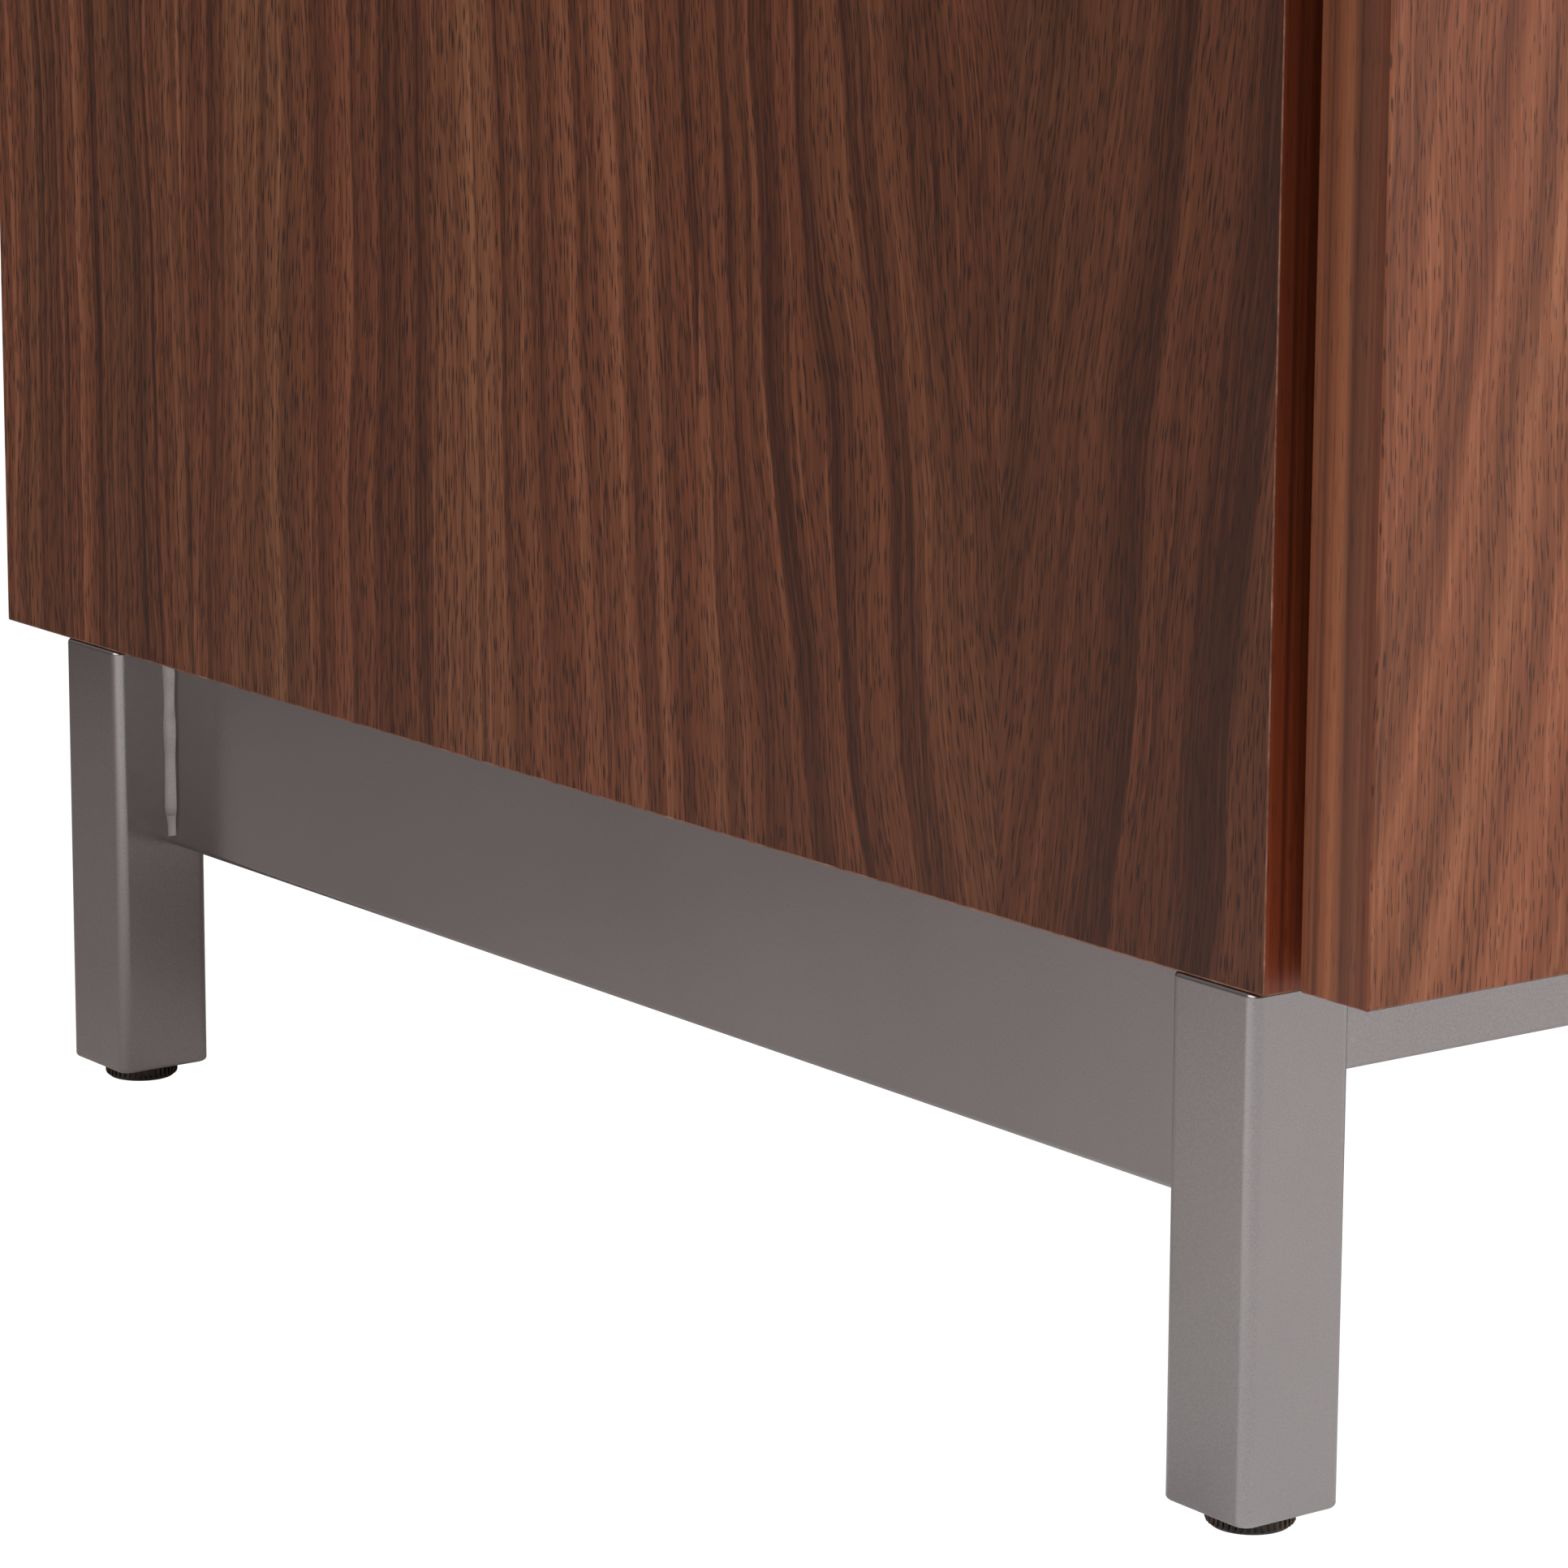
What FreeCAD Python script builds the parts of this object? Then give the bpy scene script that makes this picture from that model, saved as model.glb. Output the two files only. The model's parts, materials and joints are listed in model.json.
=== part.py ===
import FreeCAD
import Part

import math
import os
import re

import Sketcher

# Sideboard on a welded steel base: two doors, a middle bank of three drawers.
# X runs along the width, the fronts face -Y, Z is up.
# The origin is the centre of the footprint, on the floor.

doc = FreeCAD.newDocument("sideboard")
sheet = doc.addObject("Spreadsheet::Sheet", "sizes")

# Every settable size: millimetres, apart from the counts and the shares
SIZES = {
    # Overall size
    "overall_width": 1524,
    "overall_depth": 508,
    "overall_height": 760,
    # Case boards and back panel
    "board": 19,
    "back_thick": 6,
    "back_recess": 2,
    "back_lap": 9,
    "seat_clear": 0.3,
    # Doors and drawer fronts
    "front_thick": 20,
    "front_gap": 4,
    "front_joint": 3,
    "side_reveal": 5,
    "top_reveal": 5,
    "bottom_raise": 1.2,
    "front_back_round": 3.5,
    "front_face_bevel": 0.5,
    # Shelves and their pins
    "shelf_end_clear": 1,
    "shelf_setback": 25,
    "shelf_height_share": 0.5,
    "pin_radius": 2.5,
    "pin_hole_depth": 11,
    "pin_reach": 8,
    "pin_row_inset": 37,
    "fit_clear": 0.1,
    # Steel base
    "leg_side": 25.4,
    "leg_height": 107.5,
    "leg_corner": 3,
    "leg_end_bevel": 1,
    "leg_wall": 1.6,
    "leg_cap": 3,
    "leg_plug": 11,
    "leg_front_setback": 2.6,
    "leg_rear_setback": 28,
    "rail_thick": 10,
    "rail_wall": 1.5,
    "rail_corner": 1.5,
    "side_rail_height": 50.8,
    "long_rail_height": 24,
    "weld_radius": 3,
    "tab_length": 40,
    "tab_width": 25,
    "tab_thick": 3,
    "tab_share": 0.2,
    # Levelling feet
    "foot_height": 4,
    "pad_radius": 9.2,
    "flute_depth": 0.7,
    "flute_half_width": 0.75,
    "flute_count": 20,
    "stud_radius": 4,
    "stud_length": 34,
    # Concealed hinges
    "cup_radius": 17.5,
    "cup_depth": 12,
    "cup_wall": 0.9,
    "cup_margin": 5,
    "cup_from_end": 100,
    "cup_flange": 1.2,
    "flange_width": 22,
    "flange_span": 54,
    "door_pivot_in": 10,
    "door_pivot_deep": 6,
    "open_edge_gap": 1,
    "arm_pivot_share": 3.4,
    "hinge_pin_radius": 1.5,
    "pin_run_clear": 0.08,
    "link_thick": 2.2,
    "link_width": 12,
    "link_hook_in": 8.6,
    "link_hook_back": 2.6,
    "eye_wall": 1.2,
    "arm_width": 17,
    "arm_wall": 1.3,
    "arm_rear": 60,
    "arm_shoulder": 26,
    "arm_lift": 8.6,
    "plate_spine_width": 12,
    "plate_spine_height": 6,
    "plate_wing_span": 52,
    "plate_wing_width": 13,
    "plate_wing_thick": 2,
    "plate_line": 37,
    # Push latches
    "latch_width": 14,
    "latch_height": 16,
    "latch_length": 62,
    "latch_inset": 30,
    "plunger_radius": 3,
    "plunger_run_clear": 0.3,
    "plunger_length": 40,
    "plunger_bore": 50,
    # Drawer boxes and telescopic runners
    "drawer_side_thick": 12,
    "drawer_side_raise": 32,
    "drawer_head_room": 30,
    "drawer_side_length": 430,
    "drawer_bottom_thick": 6,
    "drawer_bottom_up": 12,
    "drawer_groove": 5,
    "runner_space": 12.7,
    "runner_length": 420,
    "runner_height": 45,
    "runner_wall": 1.2,
    "runner_play": 0.3,
    "runner_up": 50,
    "runner_front_inset": 3,
    "runner_step": 0.8,
    "runner_reach": 9.5,
    # Faces round each slim rod and shelf-pin bore
    "rod_face_count": 16,
    # One overrun serves every cut that has to pass out of its piece
    "overrun": 1,
}

for row, (name, value) in enumerate(SIZES.items(), start=1):
    sheet.set("A%d" % row, name)
    sheet.set("B%d" % row, str(value))
    sheet.setAlias("B%d" % row, name)
doc.recompute()

# Derived sizes, as formulas in the sheet's names
CASE_BOTTOM = "(foot_height + leg_height)"
CASE_HEIGHT = "(overall_height - foot_height - leg_height)"
CASE_DEPTH = "(overall_depth - front_thick - front_gap)"
CASE_FRONT = "(front_thick + front_gap - overall_depth / 2)"
CASE_REAR = "(overall_depth / 2)"
HALF_WIDTH = "(overall_width / 2)"
INNER_HEIGHT = f"({CASE_HEIGHT} - 2 * board)"
FLOOR_TOP = f"({CASE_BOTTOM} + board)"
CEILING = "(overall_height - board)"
BACK_FRONT = f"({CASE_REAR} - back_recess - back_thick)"
INNER_DEPTH = f"({CASE_DEPTH} - back_recess - back_thick)"
FRONT_WIDTH = "((overall_width - 2 * side_reveal - 2 * front_joint) / 3)"
FRONT_BOTTOM = f"({CASE_BOTTOM} + bottom_raise)"
FRONT_HEIGHT = f"({CASE_HEIGHT} - bottom_raise - top_reveal)"
DRAWER_FRONT_HEIGHT = f"(({FRONT_HEIGHT} - 2 * front_joint) / 3)"
PARTITION_X = f"({FRONT_WIDTH} / 2 + front_joint / 2)"
BAY_INNER_X = f"({PARTITION_X} + board / 2)"
BAY_WIDTH = f"({HALF_WIDTH} - board - {BAY_INNER_X})"
SHELF_WIDTH = f"({BAY_WIDTH} - 2 * shelf_end_clear)"
SHELF_DEPTH = f"({INNER_DEPTH} - shelf_setback - shelf_end_clear)"
SHELF_Z = f"({FLOOR_TOP} + {INNER_HEIGHT} * shelf_height_share)"
PIN_FRONT_Y = f"({CASE_FRONT} + pin_row_inset)"
PIN_REAR_Y = f"({BACK_FRONT} - pin_row_inset)"
PIN_Z = f"({SHELF_Z} - pin_radius)"
PIN_BITE = "(pin_hole_depth - fit_clear)"
LEG_FRONT_Y = f"({CASE_FRONT} + leg_front_setback)"
LEG_REAR_Y = f"({CASE_REAR} - leg_rear_setback - leg_side)"
RAIL_SET = "(leg_side - rail_thick)"
OPENING_WIDTH = f"(2 * {PARTITION_X} - board)"
BOX_WIDTH = f"({OPENING_WIDTH} - 2 * runner_space)"
BOX_HEIGHT = f"({DRAWER_FRONT_HEIGHT} - drawer_side_raise - drawer_head_room)"

parts = {}


def cells(formula):
    """Write a formula's names as cells of the sheet, and leave its functions as they are."""
    return re.sub(r"[a-z_]+", lambda word: f"sizes.{word[0]}" if word[0] in SIZES else word[0], formula)


def size(name):
    """A named size as the sheet holds it."""
    return float(sheet.get(name))


def bind(item, prop, formula):
    item.setExpression(prop, cells(formula))


def place(item, x="0", y="0", z="0"):
    bind(item, "Placement.Base.x", x)
    bind(item, "Placement.Base.y", y)
    bind(item, "Placement.Base.z", z)


def keep(node, item):
    """Name the finished sub-part; its label names its file."""
    item.Label = node
    parts[node] = item
    return item


# Primitive solids

def box(name, corner, lengths):
    item = doc.addObject("Part::Box", name)
    for prop, formula in zip(("Length", "Width", "Height"), lengths):
        bind(item, prop, formula)
    place(item, *corner)
    return item


TURNS = {
    "x": FreeCAD.Rotation(FreeCAD.Vector(0, 1, 0), 90),
    "y": FreeCAD.Rotation(FreeCAD.Vector(1, 0, 0), -90),
    "z": FreeCAD.Rotation(),
}


def lay(item, centre, height, direction):
    """Give a round bar its length, its direction and its place."""
    bind(item, "Height", height)
    item.Placement = FreeCAD.Placement(FreeCAD.Vector(), TURNS[direction])
    place(item, *centre)
    return item


def cylinder(name, centre, radius, height, direction="z"):
    item = doc.addObject("Part::Cylinder", name)
    bind(item, "Radius", radius)
    return lay(item, centre, height, direction)


def facet_round(item, radius):
    """Round a prism off with the faces that every slim rod has."""
    bind(item, "Polygon", "rod_face_count")
    bind(item, "Circumradius", radius)
    return item


def rod(name, centre, radius, height, direction="z"):
    item = facet_round(doc.addObject("Part::Prism", name), radius)
    return lay(item, centre, height, direction)


def cut(name, base, tools):
    """Take each tool out of the base in turn."""
    for number, tool in enumerate(tools, start=1):
        item = doc.addObject("Part::Cut", f"{name}_cut_{number}")
        item.Base = base
        item.Tool = tool
        base = item
    return base


def fuse(name, items):
    item = doc.addObject("Part::MultiFuse", name)
    item.Shapes = items
    return item


def group(name, items):
    """Separate solids of one kind, kept in one node."""
    item = doc.addObject("Part::Compound", name)
    item.Links = items
    return item


# Sketched solids

def new_body(name):
    return doc.addObject("PartDesign::Body", name)


def sketch(body, name, role, offset=None):
    item = body.newObject("Sketcher::SketchObject", name)
    plane = [feature for feature in body.Origin.OriginFeatures if feature.Role == role][0]
    item.AttachmentSupport = [(plane, "")]
    item.MapMode = "FlatFace"
    if offset:
        bind(item, "AttachmentOffset.Base.z", offset)
    return item


def pin_point(item, geometry, point, across, up):
    """Hold one point of a sketch at two distances from its origin."""
    for kind, formula in (("DistanceX", across), ("DistanceY", up)):
        index = item.addConstraint(Sketcher.Constraint(kind, -1, 1, geometry, point, 1.0))
        item.setExpression(f"Constraints[{index}]", cells(formula))


def outline(item, corners):
    """A closed outline of straight edges through the corners."""
    first = item.GeometryCount
    count = len(corners)
    unit = [FreeCAD.Vector(math.cos(math.tau * k / count), math.sin(math.tau * k / count), 0)
            for k in range(count + 1)]
    for k in range(count):
        item.addGeometry(Part.LineSegment(unit[k], unit[k + 1]))
    for k in range(count):
        item.addConstraint(Sketcher.Constraint("Coincident", first + k, 2, first + (k + 1) % count, 1))
    for k, (across, up) in enumerate(corners):
        pin_point(item, first + k, 1, across, up)


def rectangle(item, low_across, low_up, high_across, high_up):
    outline(item, [
        (low_across, low_up),
        (high_across, low_up),
        (high_across, high_up),
        (low_across, high_up),
    ])


def circle(item, across, up, radius):
    geometry = item.addGeometry(Part.Circle(FreeCAD.Vector(), FreeCAD.Vector(0, 0, 1), 1.0))
    pin_point(item, geometry, 3, across, up)
    index = item.addConstraint(Sketcher.Constraint("Radius", geometry, 1.0))
    item.setExpression(f"Constraints[{index}]", cells(radius))


def pad(body, name, profile, length, against=False):
    item = body.newObject("PartDesign::Pad", name)
    item.Profile = profile
    item.Reversed = against
    bind(item, "Length", length)
    doc.recompute()
    return item


def pocket(body, name, profile, depth, against=False):
    """A pocket, which has to take material away."""
    before = body.Shape.Volume
    item = body.newObject("PartDesign::Pocket", name)
    item.Profile = profile
    item.Reversed = against
    bind(item, "Length", depth)
    doc.recompute()
    if not body.Shape.Volume < before:
        raise ValueError(f"{body.Name}: {name} takes nothing away")
    return item


def dress_edges(body, kind, name, base, prop, formula, wanted):
    """Round or bevel the edges of a feature that the test picks."""
    edges = [f"Edge{number}" for number, edge in enumerate(base.Shape.Edges, start=1) if wanted(edge)]
    item = body.newObject(kind, name)
    item.Base = (base, edges)
    bind(item, prop, formula)
    doc.recompute()
    return item


def rounded(body, name, base, radius, wanted):
    return dress_edges(body, "PartDesign::Fillet", name, base, "Radius", radius, wanted)


def beveled(body, name, base, width, wanted):
    return dress_edges(body, "PartDesign::Chamfer", name, base, "Size", width, wanted)


def runs_along(edge, axis):
    """True for a straight edge parallel to the axis."""
    if edge.Curve.TypeId != "Part::GeomLine":
        return False
    run = edge.Vertexes[-1].Point - edge.Vertexes[0].Point
    return run.cross(axis).Length < size("fit_clear")


AXIS_X = FreeCAD.Vector(1, 0, 0)
AXIS_Y = FreeCAD.Vector(0, 1, 0)
AXIS_Z = FreeCAD.Vector(0, 0, 1)


# Case

def pin_holes(body, face, into):
    """Two shelf-pin holes bored from one upright face; into is the side the bore runs to."""
    start = face if into > 0 else f"{face} - pin_hole_depth"
    for row, along in (("front", PIN_FRONT_Y), ("rear", PIN_REAR_Y)):
        bore = body.newObject("PartDesign::SubtractivePrism", f"pin_hole_{row}")
        facet_round(bore, "pin_radius + fit_clear")
        lay(bore, (start, f"{along} - {CASE_FRONT}", f"{PIN_Z} - {CASE_BOTTOM}"), "pin_hole_depth", "x")
    doc.recompute()


def side_panel(name, hand):
    """Upright end of the case, mitred to the top, rebated for the back panel."""
    body = new_body(name)
    section = sketch(body, "section", "XZ_Plane")
    outline(section, [
        ("0", "0"),
        (f"{-hand} * board", "0"),
        (f"{-hand} * board", f"{CASE_HEIGHT} - board"),
        ("0", CASE_HEIGHT),
    ])
    pad(body, "panel", section, CASE_DEPTH, against=True)
    rebate = sketch(body, "rebate_section", "XZ_Plane", f"-{CASE_DEPTH}")
    rectangle(
        rebate,
        f"{-hand} * (board - back_lap)", "board - back_lap",
        f"{-hand} * (board + overrun)", f"{CASE_HEIGHT} - board + back_lap",
    )
    pocket(body, "rebate", rebate, "back_thick + back_recess", against=True)
    pin_holes(body, f"{-hand} * board", hand)
    place(body, f"{hand} * {HALF_WIDTH}", CASE_FRONT, CASE_BOTTOM)
    return keep(name, body)


def top_panel():
    """Top of the case, mitred to both ends."""
    body = new_body("top_panel")
    section = sketch(body, "section", "XZ_Plane")
    outline(section, [
        (f"board - {HALF_WIDTH}", "0"),
        (f"{HALF_WIDTH} - board", "0"),
        (HALF_WIDTH, "board"),
        (f"-{HALF_WIDTH}", "board"),
    ])
    pad(body, "panel", section, CASE_DEPTH, against=True)
    rebate = sketch(body, "rebate_section", "XZ_Plane", f"-{CASE_DEPTH}")
    rectangle(
        rebate,
        f"board - back_lap - {HALF_WIDTH}", "-overrun",
        f"{HALF_WIDTH} - board + back_lap", "back_lap",
    )
    pocket(body, "rebate", rebate, "back_thick + back_recess", against=True)
    place(body, "0", CASE_FRONT, CEILING)
    return keep("top_panel", body)


def bottom_panel():
    """Floor of the case, between its ends, rebated for the back panel."""
    body = new_body("bottom_panel")
    plan = sketch(body, "plan", "XY_Plane")
    rectangle(plan, f"board - {HALF_WIDTH}", CASE_FRONT, f"{HALF_WIDTH} - board", CASE_REAR)
    pad(body, "panel", plan, "board")
    rebate = sketch(body, "rebate_plan", "XY_Plane", "board")
    rectangle(
        rebate,
        f"board - {HALF_WIDTH} - overrun", BACK_FRONT,
        f"{HALF_WIDTH} - board + overrun", f"{CASE_REAR} + overrun",
    )
    pocket(body, "rebate", rebate, "back_lap")
    place(body, "0", "0", CASE_BOTTOM)
    return keep("bottom_panel", body)


def partition(name, hand):
    """Upright between a door bay and the drawer bay."""
    body = new_body(name)
    plan = sketch(body, "plan", "XY_Plane", "board")
    rectangle(plan, "-board / 2", "0", "board / 2", INNER_DEPTH)
    pad(body, "panel", plan, INNER_HEIGHT)
    pin_holes(body, f"{hand} * board / 2", -hand)
    place(body, f"{hand} * {PARTITION_X}", CASE_FRONT, CASE_BOTTOM)
    return keep(name, body)


def back_panel():
    reach = "(back_lap - seat_clear)"
    low_x = f"board - {HALF_WIDTH} - {reach}"
    corner = (low_x, BACK_FRONT, f"{FLOOR_TOP} - {reach}")
    lengths = (f"overall_width - 2 * board + 2 * {reach}", "back_thick", f"{INNER_HEIGHT} + 2 * {reach}")
    return keep("back_panel", box("back_panel", corner, lengths))


def shelf(name, hand):
    """Loose shelf on four pins; hand is the side of the case it stands on."""
    low_x = f"({BAY_INNER_X} + shelf_end_clear)" if hand > 0 else f"(board + shelf_end_clear - {HALF_WIDTH})"
    corner = (low_x, f"{CASE_FRONT} + shelf_setback", SHELF_Z)
    return keep(name, box(name, corner, (SHELF_WIDTH, SHELF_DEPTH, "board")))


def shelf_pins():
    """A round pin in each hole under a shelf end."""
    pins = []
    for hand in (-1, 1):
        outer = f"{hand} * ({HALF_WIDTH} - board)"
        inner = f"{hand} * {BAY_INNER_X}"
        for end, face, into in (("outer", outer, hand), ("inner", inner, -hand)):
            start = f"{face} - pin_reach" if into > 0 else f"{face} - {PIN_BITE}"
            for row, along in (("front", PIN_FRONT_Y), ("rear", PIN_REAR_Y)):
                name = f"pin_{'right' if hand > 0 else 'left'}_{end}_{row}"
                length = f"{PIN_BITE} + pin_reach"
                pins.append(rod(name, (start, along, PIN_Z), "pin_radius", length, "x"))
    return keep("shelf_pins", group("shelf_pins", pins))


# Steel base

LEG_PLACES = {
    "front_left": (-1, LEG_FRONT_Y),
    "front_right": (1, LEG_FRONT_Y),
    "rear_left": (-1, LEG_REAR_Y),
    "rear_right": (1, LEG_REAR_Y),
}


def leg_low_x(hand):
    return f"{HALF_WIDTH} - leg_side" if hand > 0 else f"-{HALF_WIDTH}"


def leg(name, hand, low_y):
    """Square tube with rounded corners, capped above, its foot end plugged and bored for the stud."""
    body = new_body(name)
    plan = sketch(body, "plan", "XY_Plane")
    rectangle(plan, "0", "0", "leg_side", "leg_side")
    tube = pad(body, "tube", plan, "leg_height")
    sides = rounded(body, "corners", tube, "leg_corner", lambda edge: runs_along(edge, AXIS_Z))
    beveled(body, "foot_end", sides, "leg_end_bevel", lambda edge: edge.BoundBox.ZMax < size("fit_clear"))
    cavity = sketch(body, "cavity", "XY_Plane", "leg_plug")
    rectangle(cavity, "leg_wall", "leg_wall", "leg_side - leg_wall", "leg_side - leg_wall")
    pocket(body, "hollow", cavity, "leg_height - leg_plug - leg_cap", against=True)
    bore = sketch(body, "bore", "XY_Plane")
    circle(bore, "leg_side / 2", "leg_side / 2", "stud_radius + fit_clear")
    pocket(body, "stud_bore", bore, "leg_plug", against=True)
    place(body, leg_low_x(hand), low_y, "foot_height")
    return keep(name, body)


def side_rail(name, hand):
    """Upright rectangular tube between the two legs of one end, flush with their inner faces."""
    body = new_body(name)
    section = sketch(body, "section", "XZ_Plane")
    rectangle(section, "0", "0", "rail_thick", "side_rail_height")
    tube = pad(body, "bar", section, f"{LEG_REAR_Y} - {LEG_FRONT_Y} - leg_side", against=True)
    rounded(body, "corners", tube, "rail_corner", lambda edge: runs_along(edge, AXIS_Y))
    bore = sketch(body, "bore", "XZ_Plane")
    rectangle(bore, "rail_wall", "rail_wall", "rail_thick - rail_wall", "side_rail_height - rail_wall")
    pocket(body, "hollow", bore, f"{LEG_REAR_Y} - {LEG_FRONT_Y}")
    low_x = f"{HALF_WIDTH} - leg_side" if hand > 0 else f"{RAIL_SET} - {HALF_WIDTH}"
    place(body, low_x, f"{LEG_FRONT_Y} + leg_side", f"{CASE_BOTTOM} - side_rail_height")
    return keep(name, body)


def long_rail(name, low_y):
    """Shallow rectangular tube along the front or the rear of the base."""
    body = new_body(name)
    length = "(overall_width - 2 * leg_side)"
    section = sketch(body, "section", "YZ_Plane")
    rectangle(section, "0", "0", "rail_thick", "long_rail_height")
    tube = pad(body, "bar", section, length)
    rounded(body, "corners", tube, "rail_corner", lambda edge: runs_along(edge, AXIS_X))
    bore = sketch(body, "bore", "YZ_Plane")
    rectangle(bore, "rail_wall", "rail_wall", "rail_thick - rail_wall", "long_rail_height - rail_wall")
    pocket(body, "hollow", bore, length, against=True)
    place(body, f"leg_side - {HALF_WIDTH}", low_y, f"{CASE_BOTTOM} - long_rail_height")
    return keep(name, body)


def weld_bead(name, corner_x, corner_y, start_turn, height):
    """Quarter-round bead standing in the corner between a leg and a rail."""
    item = doc.addObject("Part::Cylinder", name)
    bind(item, "Radius", "weld_radius")
    bind(item, "Height", height)
    item.Angle = 90
    item.Placement = FreeCAD.Placement(FreeCAD.Vector(), FreeCAD.Rotation(AXIS_Z, start_turn))
    place(item, corner_x, corner_y, f"{CASE_BOTTOM} - {height} - rail_corner")
    return item


def weld_beads():
    """One bead at each end of each rail, in the outer corner."""
    beads = []
    side_height = "(side_rail_height - 2 * rail_corner)"
    long_height = "(long_rail_height - 2 * rail_corner)"
    for hand, side in ((-1, "left"), (1, "right")):
        face_x = f"{hand} * ({HALF_WIDTH} - {RAIL_SET})"
        beads.append(weld_bead(f"bead_{side}_front", face_x, f"{LEG_FRONT_Y} + leg_side",
                               90 if hand < 0 else 0, side_height))
        beads.append(weld_bead(f"bead_{side}_rear", face_x, LEG_REAR_Y,
                               180 if hand < 0 else 270, side_height))
        leg_face_x = f"{hand} * ({HALF_WIDTH} - leg_side)"
        beads.append(weld_bead(f"bead_front_{side}", leg_face_x, f"{LEG_FRONT_Y} + {RAIL_SET}",
                               270 if hand < 0 else 180, long_height))
        beads.append(weld_bead(f"bead_rear_{side}", leg_face_x, f"{LEG_REAR_Y} + rail_thick",
                               0 if hand < 0 else 90, long_height))
    return keep("weld_beads", group("weld_beads", beads))


def tab_places():
    """Centre of each tab and its lengths along X and Y: one on each side rail, two on each long rail."""
    side_x = f"({HALF_WIDTH} - leg_side - tab_width / 2)"
    middle_y = f"(({LEG_REAR_Y} + {LEG_FRONT_Y} + leg_side) / 2)"
    front_y = f"({LEG_FRONT_Y} + leg_side + tab_width / 2)"
    rear_y = f"({LEG_REAR_Y} - tab_width / 2)"
    places = []
    for hand in (-1, 1):
        places.append((f"{hand} * {side_x}", middle_y, "tab_width", "tab_length"))
        for line_y in (front_y, rear_y):
            places.append((f"{hand} * overall_width * tab_share", line_y, "tab_length", "tab_width"))
    return places


def frame_tabs():
    """Steel tabs welded inside the rails, flush with their tops, which screw up into the case."""
    tabs = []
    for number, (across, along, wide, deep) in enumerate(tab_places(), start=1):
        corner = (f"{across} - {wide} / 2", f"{along} - {deep} / 2", f"{CASE_BOTTOM} - tab_thick")
        tabs.append(box(f"tab_{number}", corner, (wide, deep, "tab_thick")))
    return keep("frame_tabs", group("frame_tabs", tabs))


def leg_centre(hand, low_y):
    return f"{hand} * ({HALF_WIDTH} - leg_side / 2)", f"{low_y} + leg_side / 2"


def foot(name, hand, low_y):
    """Pad on a stud that screws into the leg; a flute on each of the rim's corners."""
    body = new_body(name)
    disc = body.newObject("PartDesign::AdditivePrism", "pad")
    bind(disc, "Polygon", "flute_count")
    bind(disc, "Circumradius", "pad_radius")
    bind(disc, "Height", "foot_height")
    doc.recompute()
    notch = sketch(body, "flute_plan", "XY_Plane")
    outline(notch, [
        ("pad_radius - flute_depth", "0"),
        ("pad_radius + flute_depth", "-2 * flute_half_width"),
        ("pad_radius + flute_depth", "2 * flute_half_width"),
    ])
    flute = pocket(body, "flute", notch, "foot_height", against=True)
    rim = body.newObject("PartDesign::PolarPattern", "flutes")
    rim.Originals = [flute]
    rim.Axis = (notch, ["N_Axis"])
    rim.Angle = 360
    bind(rim, "Occurrences", "flute_count")
    body.Tip = rim
    doc.recompute()
    stem = facet_round(body.newObject("PartDesign::AdditivePrism", "stud"), "stud_radius")
    lay(stem, ("0", "0", "foot_height"), "stud_length", "z")
    doc.recompute()
    across, along = leg_centre(hand, low_y)
    place(body, across, along, "0")
    return keep(name, body)


# Doors and drawer fronts

def slab(body, width, height):
    """Front board with softly rounded back edges and barely broken front edges."""
    face = sketch(body, "face", "XZ_Plane")
    rectangle(face, "0", "0", width, height)
    board = pad(body, "board", face, "front_thick", against=True)
    depth = size("front_thick")

    def on_back(edge):
        return edge.BoundBox.YMin > depth - size("fit_clear")

    def on_face(edge):
        return edge.BoundBox.YMax < size("fit_clear")

    back = rounded(body, "back_round", board, "front_back_round", on_back)
    return beveled(body, "face_bevel", back, "front_face_bevel", on_face)


# Hinge lines, seen from above: distances in from the case's outer face and back from its front edge.
# The door's pivot is held at P and comes to Q with the door square open; the arm's pivot lies on
# the line that is equally far from both.
DOOR_PIVOT_IN = "(side_reveal + door_pivot_in)"
DOOR_PIVOT_BACK = "(-front_gap - door_pivot_deep)"
OPEN_PIVOT_IN = "(side_reveal + front_thick - door_pivot_deep)"
OPEN_PIVOT_BACK = "(-front_gap - open_edge_gap - door_pivot_in)"
ARM_PIVOT_IN = (f"(({DOOR_PIVOT_IN} + {OPEN_PIVOT_IN}) / 2"
                f" + arm_pivot_share * ({DOOR_PIVOT_BACK} - {OPEN_PIVOT_BACK}))")
ARM_PIVOT_BACK = (f"(({DOOR_PIVOT_BACK} + {OPEN_PIVOT_BACK}) / 2"
                  f" + arm_pivot_share * ({OPEN_PIVOT_IN} - {DOOR_PIVOT_IN}))")
CUP_IN = "(side_reveal + cup_margin + cup_radius)"
HINGE_HEIGHTS = {
    "low": f"({FRONT_BOTTOM} + cup_from_end)",
    "high": f"({FRONT_BOTTOM} + {FRONT_HEIGHT} - cup_from_end)",
}
DOOR_HANDS = {"left": -1, "right": 1}


def hinge_x(hand, inward):
    """Place across the case of a distance in from its outer face."""
    return f"{hand} * ({HALF_WIDTH} - {inward})"


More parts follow.
